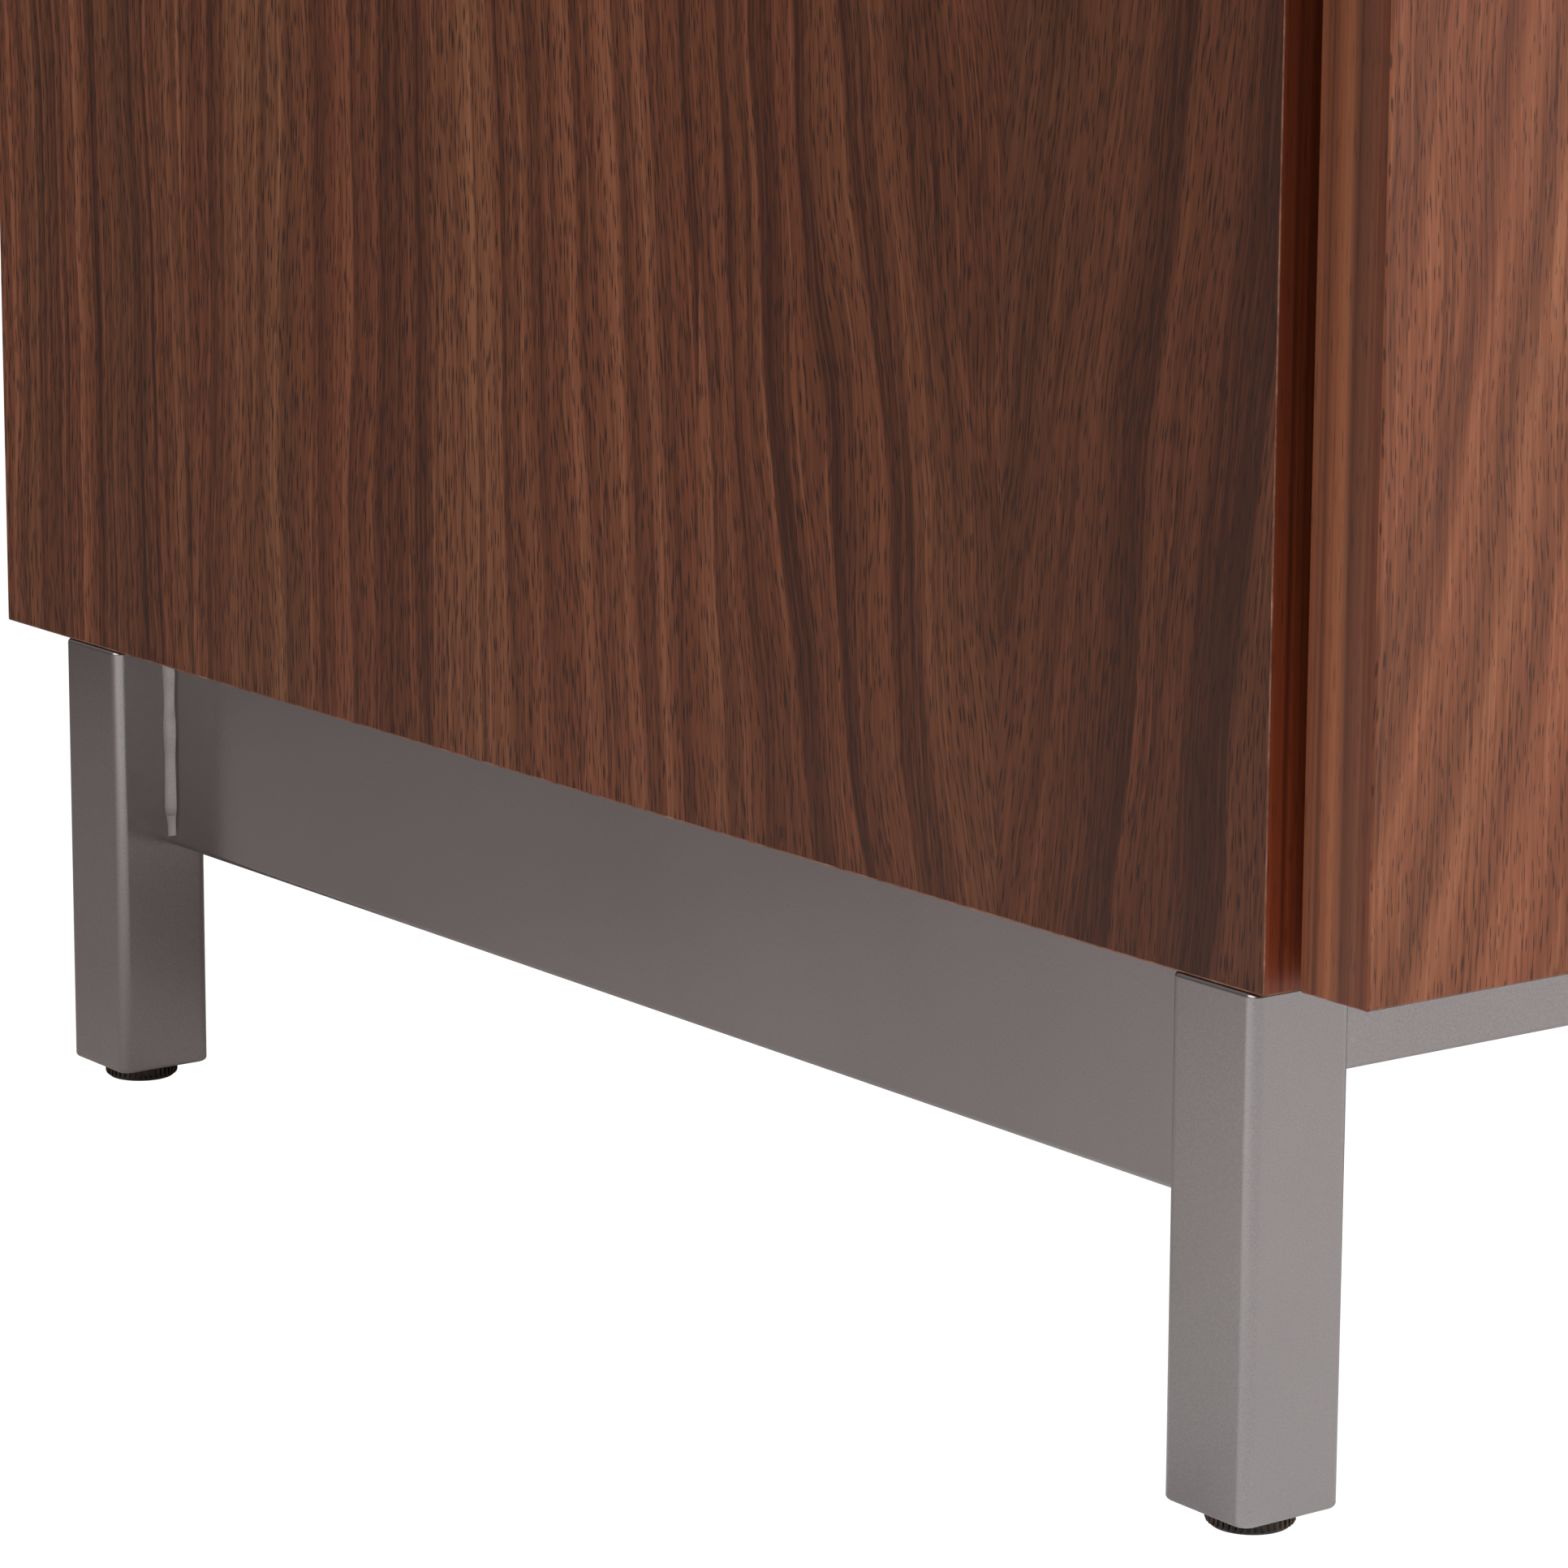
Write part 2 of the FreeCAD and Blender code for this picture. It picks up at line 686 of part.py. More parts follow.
def door(name, hand):
    """Door slab with the two blind bores of its hinge cups."""
    body = new_body(name)
    slab(body, FRONT_WIDTH, FRONT_HEIGHT)
    bores = sketch(body, "cup_bores", "XZ_Plane", "-front_thick")
    edge = "(cup_margin + cup_radius)"
    across = edge if hand < 0 else f"({FRONT_WIDTH} - {edge})"
    for height in ("cup_from_end", f"({FRONT_HEIGHT} - cup_from_end)"):
        circle(bores, across, height, "cup_radius + fit_clear")
    pocket(body, "cup_pockets", bores, "cup_depth + fit_clear", against=True)
    low_x = f"side_reveal - {HALF_WIDTH}" if hand < 0 else f"{HALF_WIDTH} - side_reveal - {FRONT_WIDTH}"
    place(body, low_x, "-overall_depth / 2", FRONT_BOTTOM)
    return keep(name, body)


def hinge_cup(name, hand, height):
    """Pressed cup with its screw flange and the pin that the link turns on."""
    door_back = f"({CASE_FRONT} - front_gap)"
    centre_x = hinge_x(hand, CUP_IN)
    shell = cylinder(f"{name}_shell", (centre_x, f"{door_back} - cup_depth", height), "cup_radius",
                     "cup_depth + cup_flange", "y")
    flange = box(
        f"{name}_flange", (f"{centre_x} - flange_width / 2", door_back, f"{height} - flange_span / 2"),
        ("flange_width", "cup_flange", "flange_span"),
    )
    mouth = cylinder(f"{name}_mouth", (centre_x, f"{door_back} - cup_depth + cup_wall", height),
                     "cup_radius - cup_wall", "cup_depth + cup_flange", "y")
    hollow = cut(name, fuse(f"{name}_body", [shell, flange]), [mouth])
    # The pin ends in the thickness of the wall of the cup
    off_centre = "(cup_margin + cup_radius - door_pivot_in + hinge_pin_radius)"
    chord = f"sqrt((cup_radius - cup_wall / 2) ^ 2 - {off_centre} ^ 2)"
    pin_foot = (hinge_x(hand, DOOR_PIVOT_IN), f"{CASE_FRONT} + {DOOR_PIVOT_BACK}", f"{height} - {chord}")
    pin = rod(f"{name}_pin", pin_foot, "hinge_pin_radius", f"2 * {chord}")
    return fuse(name, [hollow, pin])


def hinge_cups(name, hand):
    cups = [hinge_cup(f"{name}_{end}", hand, height) for end, height in HINGE_HEIGHTS.items()]
    return keep(name, group(name, cups))


def link_point(name, hand, inward, back, height):
    """Construction point on the lower face of a link."""
    point = doc.addObject("Part::Vertex", name)
    bind(point, "X", hinge_x(hand, inward))
    bind(point, "Y", f"{CASE_FRONT} + {back}")
    bind(point, "Z", f"{height} - link_width / 2")
    doc.recompute()
    return point.Shape.Vertexes[0].Point


def hinge_link(name, hand, height):
    """Bent steel strap with an eye at each pin: it leaves the cup square, then turns to the arm."""
    start = link_point(f"{name}_start", hand, DOOR_PIVOT_IN, DOOR_PIVOT_BACK, height)
    bend = link_point(f"{name}_bend", hand, f"({DOOR_PIVOT_IN} + link_hook_in)",
                      f"({DOOR_PIVOT_BACK} - link_hook_back)", height)
    end = link_point(f"{name}_end", hand, ARM_PIVOT_IN, ARM_PIVOT_BACK, height)
    up = FreeCAD.Vector(0, 0, size("link_width"))
    half = size("link_thick") / 2
    near = (bend - start).cross(AXIS_Z).normalize()
    far = (end - bend).cross(AXIS_Z).normalize()
    mitre = (near + far).normalize()
    mitre = mitre * (half / mitre.dot(near))
    near = near * half
    far = far * half
    ring = [start + near, bend + mitre, end + far, end - far, bend - mitre, start - near, start + near]
    strap = Part.Face(Part.makePolygon(ring)).extrude(up)
    hole = size("hinge_pin_radius") + size("pin_run_clear")
    eyes = [Part.makeCylinder(hole + size("eye_wall"), size("link_width"), foot) for foot in (start, end)]
    bores = [Part.makeCylinder(hole, size("link_width"), foot) for foot in (start, end)]
    return strap.fuse(eyes).cut(bores).removeSplitter().Solids[0]


def hinge_links(name, hand):
    links = [hinge_link(f"{name}_{end}", hand, height) for end, height in HINGE_HEIGHTS.items()]
    item = doc.addObject("Part::Feature", name)
    item.Shape = Part.makeCompound(links)
    return keep(name, item)


def hinge_arm(name, hand, height):
    """Channel arm over the mounting plate, with two cheeks that hold the arm pin."""
    body = new_body(name)
    inner_face = "board"
    tip = "(hinge_pin_radius + eye_wall + link_thick / 4)"
    pivot_in = f"({ARM_PIVOT_IN} - {inner_face})"

    def corner(inward, back):
        return f"{-hand} * ({inward})", back

    cheek = sketch(body, "cheek", "XY_Plane")
    outline(cheek, [
        corner("plate_wing_thick + seat_clear", "arm_rear"),
        corner("arm_lift", "arm_rear"),
        corner("arm_lift", "arm_shoulder"),
        corner(f"{pivot_in} + {tip}", f"{ARM_PIVOT_BACK} + 3 * {tip}"),
        corner(f"{pivot_in} + {tip}", f"{ARM_PIVOT_BACK} - {tip}"),
        corner(f"{pivot_in} - {tip}", f"{ARM_PIVOT_BACK} - {tip}"),
        corner(f"{pivot_in} - {tip}", f"{ARM_PIVOT_BACK} + {tip}"),
        corner("plate_wing_thick + seat_clear", "arm_shoulder / 2"),
    ])
    pad(body, "channel", cheek, "arm_width")
    throat = sketch(body, "throat", "XY_Plane", "arm_wall")
    outline(throat, [
        corner("-overrun", "arm_rear + overrun"),
        corner("arm_lift - arm_wall", "arm_rear + overrun"),
        corner("arm_lift - arm_wall", "arm_shoulder - arm_wall / 2"),
        corner(f"{pivot_in} + {tip} - arm_wall", f"{ARM_PIVOT_BACK} + 3 * {tip} - arm_wall / 2"),
        corner(f"{pivot_in} + {tip} + overrun", f"{ARM_PIVOT_BACK} + 3 * {tip} - arm_wall"),
        corner(f"{pivot_in} + {tip} + overrun", f"{ARM_PIVOT_BACK} - {tip} - overrun"),
        corner("-overrun", f"{ARM_PIVOT_BACK} - {tip} - overrun"),
    ])
    pocket(body, "throat_cut", throat, "arm_width - 2 * arm_wall", against=True)
    pin = sketch(body, "pin_section", "XY_Plane")
    circle(pin, *corner(pivot_in, ARM_PIVOT_BACK), "hinge_pin_radius")
    pad(body, "pin", pin, "arm_width")
    place(body, hinge_x(hand, inner_face), CASE_FRONT, f"{height} - arm_width / 2")
    return body


def each_hinge(maker, name):
    """One copy at each height on each end of the case."""
    return [maker(f"{name}_{side}_{end}", hand, height)
            for side, hand in DOOR_HANDS.items() for end, height in HINGE_HEIGHTS.items()]


def hinge_plate(name, hand, height):
    """Mounting plate on the inside of the end panel: a spine under the arm and two screw wings."""
    face = hinge_x(hand, "board")
    reach = "(plate_spine_height)"
    low_spine = f"{face} - {reach}" if hand > 0 else face
    low_wing = f"{face} - plate_wing_thick" if hand > 0 else face
    half_length = "(arm_rear - plate_line)"
    spine = box(
        f"{name}_spine",
        (low_spine, f"{CASE_FRONT} + plate_line - {half_length}", f"{height} - plate_spine_width / 2"),
        (reach, f"2 * {half_length}", "plate_spine_width"),
    )
    wings = box(
        f"{name}_wings",
        (low_wing, f"{CASE_FRONT} + plate_line - plate_wing_width / 2", f"{height} - plate_wing_span / 2"),
        ("plate_wing_thick", "plate_wing_width", "plate_wing_span"),
    )
    return fuse(name, [spine, wings])


# Push latches, which stand in for handles

LATCH_X = f"({BAY_INNER_X} + latch_inset)"
LATCH_Z = f"({CEILING} - latch_height / 2)"


def latch_housing(name, hand):
    shell = box(
        f"{name}_shell",
        (f"{hand} * {LATCH_X} - latch_width / 2", CASE_FRONT, f"{CEILING} - latch_height"),
        ("latch_width", "latch_length", "latch_height"),
    )
    bore = cylinder(f"{name}_bore", (f"{hand} * {LATCH_X}", f"{CASE_FRONT} - overrun", LATCH_Z),
                    "plunger_radius + plunger_run_clear", "plunger_bore + overrun", "y")
    return cut(name, shell, [bore])


def latch_plunger(name, hand):
    """Spring-loaded pin, just clear of the closed door."""
    start = f"{CASE_FRONT} - front_gap + seat_clear"
    pin = cylinder(name, (f"{hand} * {LATCH_X}", start, LATCH_Z), "plunger_radius", "plunger_length", "y")
    return keep(name, pin)


# Drawers

LEVELS = ("lower", "middle", "upper")


def drawer_base(step):
    """Height of the bottom edge of a drawer's front."""
    return f"({FRONT_BOTTOM} + {step} * ({DRAWER_FRONT_HEIGHT} + front_joint))"


def drawer_front(name, step):
    body = new_body(name)
    slab(body, FRONT_WIDTH, DRAWER_FRONT_HEIGHT)
    place(body, f"-{FRONT_WIDTH} / 2", "-overall_depth / 2", drawer_base(step))
    return keep(name, body)


def drawer_side(name, hand, step):
    """Drawer side, grooved for the bottom."""
    body = new_body(name)
    section = sketch(body, "section", "XZ_Plane")
    inner = f"{-hand} * drawer_side_thick"
    groove = f"{-hand} * (drawer_side_thick - drawer_groove)"
    outline(section, [
        ("0", "0"),
        (inner, "0"),
        (inner, "drawer_bottom_up"),
        (groove, "drawer_bottom_up"),
        (groove, "drawer_bottom_up + drawer_bottom_thick + seat_clear"),
        (inner, "drawer_bottom_up + drawer_bottom_thick + seat_clear"),
        (inner, BOX_HEIGHT),
        ("0", BOX_HEIGHT),
    ])
    pad(body, "board", section, "drawer_side_length", against=True)
    low_z = f"{drawer_base(step)} + drawer_side_raise"
    place(body, f"{hand} * {BOX_WIDTH} / 2", f"{CASE_FRONT} - front_gap", low_z)
    return keep(name, body)


def drawer_back(name, step):
    """Drawer back, standing on the bottom."""
    corner = (
        f"drawer_side_thick - {BOX_WIDTH} / 2",
        f"{CASE_FRONT} - front_gap + drawer_side_length - drawer_side_thick",
        f"{drawer_base(step)} + drawer_side_raise + drawer_bottom_up + drawer_bottom_thick",
    )
    height = f"{BOX_HEIGHT} - drawer_bottom_up - drawer_bottom_thick"
    lengths = (f"{BOX_WIDTH} - 2 * drawer_side_thick", "drawer_side_thick", height)
    return keep(name, box(name, corner, lengths))


def drawer_bottom(name, step):
    reach = "(drawer_groove - seat_clear)"
    corner = (
        f"drawer_side_thick - {BOX_WIDTH} / 2 - {reach}",
        f"{CASE_FRONT} - front_gap",
        f"{drawer_base(step)} + drawer_side_raise + drawer_bottom_up",
    )
    width = f"{BOX_WIDTH} - 2 * drawer_side_thick + 2 * {reach}"
    return keep(name, box(name, corner, (width, "drawer_side_length", "drawer_bottom_thick")))


def channel(name, hand, step, web, throat, lip, half_height):
    """One member of a runner: a C section along Y, measured out from the partition's face."""
    body = new_body(name)
    section = sketch(body, "section", "XZ_Plane")
    sign = -hand
    outline(section, [
        (f"{sign} * ({web})", f"-({half_height})"),
        (f"{sign} * ({lip})", f"-({half_height})"),
        (f"{sign} * ({lip})", f"runner_wall - ({half_height})"),
        (f"{sign} * ({throat})", f"runner_wall - ({half_height})"),
        (f"{sign} * ({throat})", f"({half_height}) - runner_wall"),
        (f"{sign} * ({lip})", f"({half_height}) - runner_wall"),
        (f"{sign} * ({lip})", half_height),
        (f"{sign} * ({web})", half_height),
    ])
    pad(body, "strip", section, "runner_length", against=True)
    place(
        body, f"{hand} * {OPENING_WIDTH} / 2", f"{CASE_FRONT} + runner_front_inset",
        f"{drawer_base(step)} + drawer_side_raise + runner_up",
    )
    return body


MIDDLE_WEB = "(runner_wall + runner_step)"
HALF_OUTER = "(runner_height / 2)"
HALF_MIDDLE = f"({HALF_OUTER} - runner_wall - runner_play)"
HALF_INNER = f"({HALF_MIDDLE} - runner_wall - runner_play)"


def cabinet_member(name, hand, step):
    """Runner member screwed to the partition."""
    return channel(name, hand, step, "0", "runner_wall", "runner_reach", HALF_OUTER)


def middle_member(name, hand, step):
    """Runner member that rides between the other two."""
    throat = f"{MIDDLE_WEB} + runner_wall"
    return channel(name, hand, step, MIDDLE_WEB, throat, "runner_reach", HALF_MIDDLE)


def drawer_member(name, hand, step):
    """Runner member screwed to the drawer side."""
    lip = f"{MIDDLE_WEB} + runner_wall + runner_step"
    return channel(name, hand, step, "runner_space", "runner_space - runner_wall", lip, HALF_INNER)


# Build

for side, hand in DOOR_HANDS.items():
    side_panel(f"side_panel_{side}", hand)
    partition(f"partition_{side}", hand)
    shelf(f"shelf_{side}", hand)
    side_rail(f"rail_{side}", hand)
    door(f"door_{side}", hand)
    hinge_cups(f"hinge_cups_{side}", hand)
    hinge_links(f"hinge_links_{side}", hand)
    latch_plunger(f"latch_plunger_{side}", hand)
top_panel()
bottom_panel()
back_panel()
shelf_pins()
for end, (hand, low_y) in LEG_PLACES.items():
    leg(f"leg_{end}", hand, low_y)
    foot(f"foot_{end}", hand, low_y)
long_rail("rail_front", f"{LEG_FRONT_Y} + {RAIL_SET}")
long_rail("rail_rear", LEG_REAR_Y)
weld_beads()
frame_tabs()
keep("hinge_arms", group("hinge_arms", each_hinge(hinge_arm, "arm")))
keep("hinge_plates", group("hinge_plates", each_hinge(hinge_plate, "plate")))
housings = [latch_housing(f"latch_{side}", hand) for side, hand in DOOR_HANDS.items()]
keep("latch_housings", group("latch_housings", housings))
cabinet_members = []
for step, level in enumerate(LEVELS):
    drawer_front(f"drawer_front_{level}", step)
    drawer_back(f"drawer_back_{level}", step)
    drawer_bottom(f"drawer_bottom_{level}", step)
    middles = []
    inners = []
    for side, hand in DOOR_HANDS.items():
        drawer_side(f"drawer_side_{side}_{level}", hand, step)
        cabinet_members.append(cabinet_member(f"cabinet_member_{side}_{level}", hand, step))
        middles.append(middle_member(f"middle_member_{side}_{level}", hand, step))
        inners.append(drawer_member(f"drawer_member_{side}_{level}", hand, step))
    keep(f"runner_middle_{level}", group(f"runner_middle_{level}", middles))
    keep(f"runner_inner_{level}", group(f"runner_inner_{level}", inners))
keep("runner_cabinet_members", group("runner_cabinet_members", cabinet_members))
doc.recompute()

for item in doc.Objects:
    if "Invalid" in item.State or "Error" in item.State:
        raise ValueError(f"{item.Name} failed: {item.State}")
os.makedirs("parts", exist_ok=True)
for node, item in parts.items():
    if item.Shape.isNull() or not item.Shape.isValid():
        raise ValueError(f"{node} has no valid shape")
    item.Shape.exportStep(f"parts/{node}.step")
print(len(parts), "sub-parts written")
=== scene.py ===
import json
import math

import bmesh
import bpy
from mathutils import Matrix, Vector


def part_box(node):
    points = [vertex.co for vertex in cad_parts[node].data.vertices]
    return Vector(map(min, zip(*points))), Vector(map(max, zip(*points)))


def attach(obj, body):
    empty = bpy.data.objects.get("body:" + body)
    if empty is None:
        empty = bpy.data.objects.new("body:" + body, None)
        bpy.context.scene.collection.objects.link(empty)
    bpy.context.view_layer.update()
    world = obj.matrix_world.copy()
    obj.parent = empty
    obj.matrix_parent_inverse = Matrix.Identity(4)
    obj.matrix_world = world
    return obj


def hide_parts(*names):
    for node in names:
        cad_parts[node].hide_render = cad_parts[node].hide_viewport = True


# Sideboard: walnut-veneered case, doors and drawer fronts on a powder-coated steel base.
# Metres; X runs along the width, the fronts face -Y, Z is up.

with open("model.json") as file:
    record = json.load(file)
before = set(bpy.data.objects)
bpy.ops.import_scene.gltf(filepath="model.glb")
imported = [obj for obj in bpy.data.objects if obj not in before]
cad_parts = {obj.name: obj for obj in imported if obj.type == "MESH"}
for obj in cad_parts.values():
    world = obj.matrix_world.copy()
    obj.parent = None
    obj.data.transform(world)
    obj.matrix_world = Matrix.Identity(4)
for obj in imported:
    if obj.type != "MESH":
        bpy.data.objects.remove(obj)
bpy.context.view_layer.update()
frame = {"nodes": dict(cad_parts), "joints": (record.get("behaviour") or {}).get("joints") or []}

MM = 0.001
SIDES = {"left": -1, "right": 1}
LEVELS = ("lower", "middle", "upper")
LEG_ENDS = ("front_left", "front_right", "rear_left", "rear_right")

# Edges of boards and fittings
NEARLY = 0.01 * MM
SLIGHT_BREAK = 0.26 * MM
PANEL_FOOT_BREAK = 0.45 * MM
FRONT_FOOT_BREAK = 0.4 * MM
BIRCH_BREAK = 0.8 * MM
BOTTOM_BREAK = 0.3 * MM
BOARD_CORNER = math.radians(50.0)
FITTING_CORNER = math.radians(35.0)
REAR_ROUNDING = 3.5 * MM
REAR_ROUNDING_SHARE = 0.4

# Places read from the frame

side_low, side_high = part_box("side_panel_left")
case_front = side_low.y
case_bottom = side_low.z
case_end = side_low.x
door_low, door_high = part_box("door_left")
leg_low, leg_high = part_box("leg_front_left")
foot_low, foot_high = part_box("foot_front_left")
leg_side = leg_high.x - leg_low.x


# Wiring of node trees

class Graph:
    """A node tree being wired, for a finish or for a repeated shape."""

    def __init__(self, tree):
        self.tree = tree

    def add(self, kind, inputs=None, **settings):
        node = self.tree.nodes.new(kind)
        for key, value in settings.items():
            setattr(node, key, value)
        for socket, value in (inputs or {}).items():
            self.feed(node.inputs[socket], value)
        return node

    def out(self, kind, inputs=None, **settings):
        return self.add(kind, inputs, **settings).outputs[0]

    def feed(self, socket, value):
        if isinstance(value, bpy.types.NodeSocket):
            self.tree.links.new(value, socket)
        else:
            socket.default_value = value

    def maths(self, operation, *values, clamp=False):
        return self.out("ShaderNodeMath", dict(enumerate(values)), operation=operation, use_clamp=clamp)

    def plus(self, first, second):
        return self.maths("ADD", first, second)

    def minus(self, first, second):
        return self.maths("SUBTRACT", first, second)

    def times(self, first, second):
        return self.maths("MULTIPLY", first, second)

    def over(self, first, second):
        return self.maths("DIVIDE", first, second)

    def point(self, across, along, third=0.0):
        return self.out("ShaderNodeCombineXYZ", {0: across, 1: along, 2: third})

    def axis(self, place, letter):
        return self.add("ShaderNodeSeparateXYZ", {0: place}).outputs[letter.upper()]

    def noise(self, place, scale, detail=2.0, rough=0.5, distort=0.0):
        inputs = {"Vector": place, "Scale": scale, "Detail": detail,
                  "Roughness": rough, "Distortion": distort}
        return self.add("ShaderNodeTexNoise", inputs).outputs["Fac"]

    def remap(self, value, low, high, to_low=0.0, to_high=1.0, soft=False):
        kind = "SMOOTHSTEP" if soft else "LINEAR"
        inputs = {0: value, 1: low, 2: high, 3: to_low, 4: to_high}
        return self.out("ShaderNodeMapRange", inputs, interpolation_type=kind)

    def ramp(self, value, stops):
        node = self.add("ShaderNodeValToRGB", {"Fac": value})
        elements = node.color_ramp.elements
        while len(elements) < len(stops):
            elements.new(0.5)
        for element, (place, colour) in zip(elements, stops):
            element.position = place
            element.color = (*colour, 1)
        return node.outputs["Color"]

    def mix(self, share, first, second, blend="MIX"):
        node = self.add("ShaderNodeMix", {0: share}, data_type="RGBA", blend_type=blend)
        for socket, value in ((node.inputs[6], first), (node.inputs[7], second)):
            self.feed(socket, (*value, 1) if isinstance(value, tuple) else value)
        return node.outputs[2]


def start_finish(name):
    """A new material with its graph and the object's own coordinates."""
    material = bpy.data.materials.new(name)
    material.use_nodes = True
    g = Graph(material.node_tree)
    return material, g, g.add("ShaderNodeTexCoord").outputs["Object"]


def lay_finish(g, looks, height=None, depth=0.0, strength=1.0):
    """Wire the looks to the shader, with a fine relief from the height."""
    if height is not None:
        bump = {"Height": height, "Distance": depth, "Strength": strength}
        looks["Normal"] = g.out("ShaderNodeBump", bump)
    shader = g.tree.nodes["Principled BSDF"]
    for socket, value in looks.items():
        g.feed(shader.inputs[socket], value)


# Walnut

def walnut_figure_group():
    """Flat-sliced veneer: leaves side by side, growth rings that arch over a crown, pores and fibre."""
    tree = bpy.data.node_groups.new("walnut_figure", "ShaderNodeTree")
    face = tree.interface
    for name, value in (("Across", 0.0), ("Along", 0.0), ("Joint", 0.0), ("Leaf", 0.3), ("Crown", -0.15),
                        ("Pith", 0.03), ("Rise", -0.08), ("Fan", 0.07), ("Spread", 0.0), ("Strip", 0.12),
                        ("Contrast", 1.0), ("Hair", 0.15), ("Edge", 0.93), ("Fade", 0.0), ("First", 0.0),
                        ("Broad", 0.0), ("Dense", 0.0), ("Pore", 0.10), ("Seed", 0.0)):
        face.new_socket(name, in_out="INPUT", socket_type="NodeSocketFloat").default_value = value
    for name in ("Figure", "Hue", "Pores", "Fibre"):
        face.new_socket(name, in_out="OUTPUT", socket_type="NodeSocketFloat")
    g = Graph(tree)
    given = g.add("NodeGroupInput").outputs
    along = given["Along"]
    past_joint = g.minus(given["Across"], given["Joint"])
    # Leaf number, and the place across one leaf, mirrored in every other leaf
    steps = g.over(past_joint, given["Leaf"])
    leaf = g.maths("FLOOR", steps)
    before = g.maths("LESS_THAN", leaf, 0.0)
    turned = g.minus(1.0, g.times(2.0, g.maths("FLOORED_MODULO", leaf, 2.0)))
    local = g.times(g.times(g.minus(g.minus(steps, leaf), 0.5), given["Leaf"]), turned)
    strip = g.maths("FLOOR", g.over(g.plus(local, g.times(given["Leaf"], 0.5)), given["Strip"]))
    own = g.plus(g.maths("MULTIPLY_ADD", leaf, 3.7, given["Seed"]), g.times(strip, 11.3))
    chance = g.add("ShaderNodeTexWhiteNoise", {"W": own}, noise_dimensions="1D").outputs["Color"]
    shade = g.add("ShaderNodeSeparateColor", {0: chance}).outputs
    # The grain fans out a little towards the foot of the leaf and sways along it
    reach = g.maths("MINIMUM", g.minus(along, 0.1), 0.35)
    fan = g.maths("MULTIPLY_ADD", given["Spread"], reach, 1.0)
    fanned = g.maths("MULTIPLY_ADD", g.minus(local, given["Fan"]), fan, given["Fan"])

    def sway(per_metre_across, per_metre_along, detail):
        place = g.point(g.times(fanned, per_metre_across), g.times(along, per_metre_along), own)
        return g.minus(g.noise(place, 1.0, detail), 0.5)

    slow = sway(3.0, 2.2, 1.0)
    quick = sway(19.0, 8.0, 2.0)
    lively = g.remap(shade[2], 0.0, 1.0, 0.004, 0.018)
    wander = g.maths("MULTIPLY_ADD", slow, 0.014, g.times(quick, lively))
    off = g.plus(g.minus(fanned, given["Crown"]), wander)
    # Distance from the pith, which runs at a small angle to the sheet
    deep = g.maths("SMOOTH_MAX", g.maths("MULTIPLY_ADD", along, given["Rise"], given["Pith"]), 0.0, 0.03)
    ring = g.maths("SQRT", g.plus(g.times(off, off), g.times(deep, deep)))
    # Leaves past the first two may have narrower rings, and leaves before them broader ones
    crowd = g.maths("MULTIPLY_ADD", g.maths("GREATER_THAN", leaf, 0.5), given["Dense"], 1.0)
    ring = g.times(ring, g.minus(crowd, g.times(before, given["Broad"])))

    def bands(place_across, width, length, detail, rough):
        place = g.point(g.over(place_across, width), g.over(along, length), own)
        return g.noise(place, 1.0, detail, rough)

    wide = bands(ring, 0.030, 1.3, 2.0, 0.5)
    middle = bands(ring, 0.0100, 0.9, 2.0, 0.55)
    fine = bands(ring, 0.0027, 0.6, 2.0, 0.6)
    streak = bands(off, 0.0011, 0.22, 2.0, 0.6)
    fibre = bands(off, 0.00045, 0.030, 1.0, 0.6)
    # Each year's ring darkens slowly and ends sharply; a hairline runs here and there
    year = g.maths("FRACT", g.maths("MULTIPLY_ADD", wide, 2.6, g.over(ring, 0.0150)))
    dark = g.times(g.remap(year, 0.30, given["Edge"], soft=True),
                   g.remap(year, given["Edge"], 0.99, 1.0, 0.0))
    dark = g.times(dark, g.remap(middle, 0.36, 0.62, 0.25, 1.0))
    hair = g.maths("ABSOLUTE", g.minus(bands(ring, 0.0062, 0.8, 1.0, 0.5), 0.5))
    hair = g.times(g.remap(hair, 0.0, 0.022, 1.0, 0.0), g.remap(fine, 0.35, 0.55))
    figure = g.minus(0.10, g.times(dark, 0.26))
    figure = g.minus(figure, g.times(hair, given["Hair"]))
    figure = g.maths("MULTIPLY_ADD", g.minus(shade[1], 0.5), 0.10, figure)
    for part, weight in ((wide, 0.55), (middle, 0.45), (fibre, 0.40)):
        figure = g.maths("MULTIPLY_ADD", g.minus(part, 0.5), weight, figure)
    # Broad leaves carry less fine streak
    calm = g.minus(1.0, g.times(before, given["Broad"]))
    for part, weight in ((fine, 0.34), (streak, 0.55)):
        figure = g.maths("MULTIPLY_ADD", g.times(g.minus(part, 0.5), calm), weight, figure)
    figure = g.minus(figure, g.times(before, given["First"]))
    # Painted shade: the board darkens slowly towards its front
    ahead = g.maths("MINIMUM", g.minus(past_joint, 0.25), 0.0)
    figure = g.maths("MULTIPLY_ADD", ahead, given["Fade"], figure)
    figure = g.maths("MULTIPLY_ADD", figure, given["Contrast"], 0.5)
    # Cloudy change of hue over the sheet
    hue = g.noise(g.point(g.times(ring, 22.0), g.times(along, 2.0), own), 1.0)
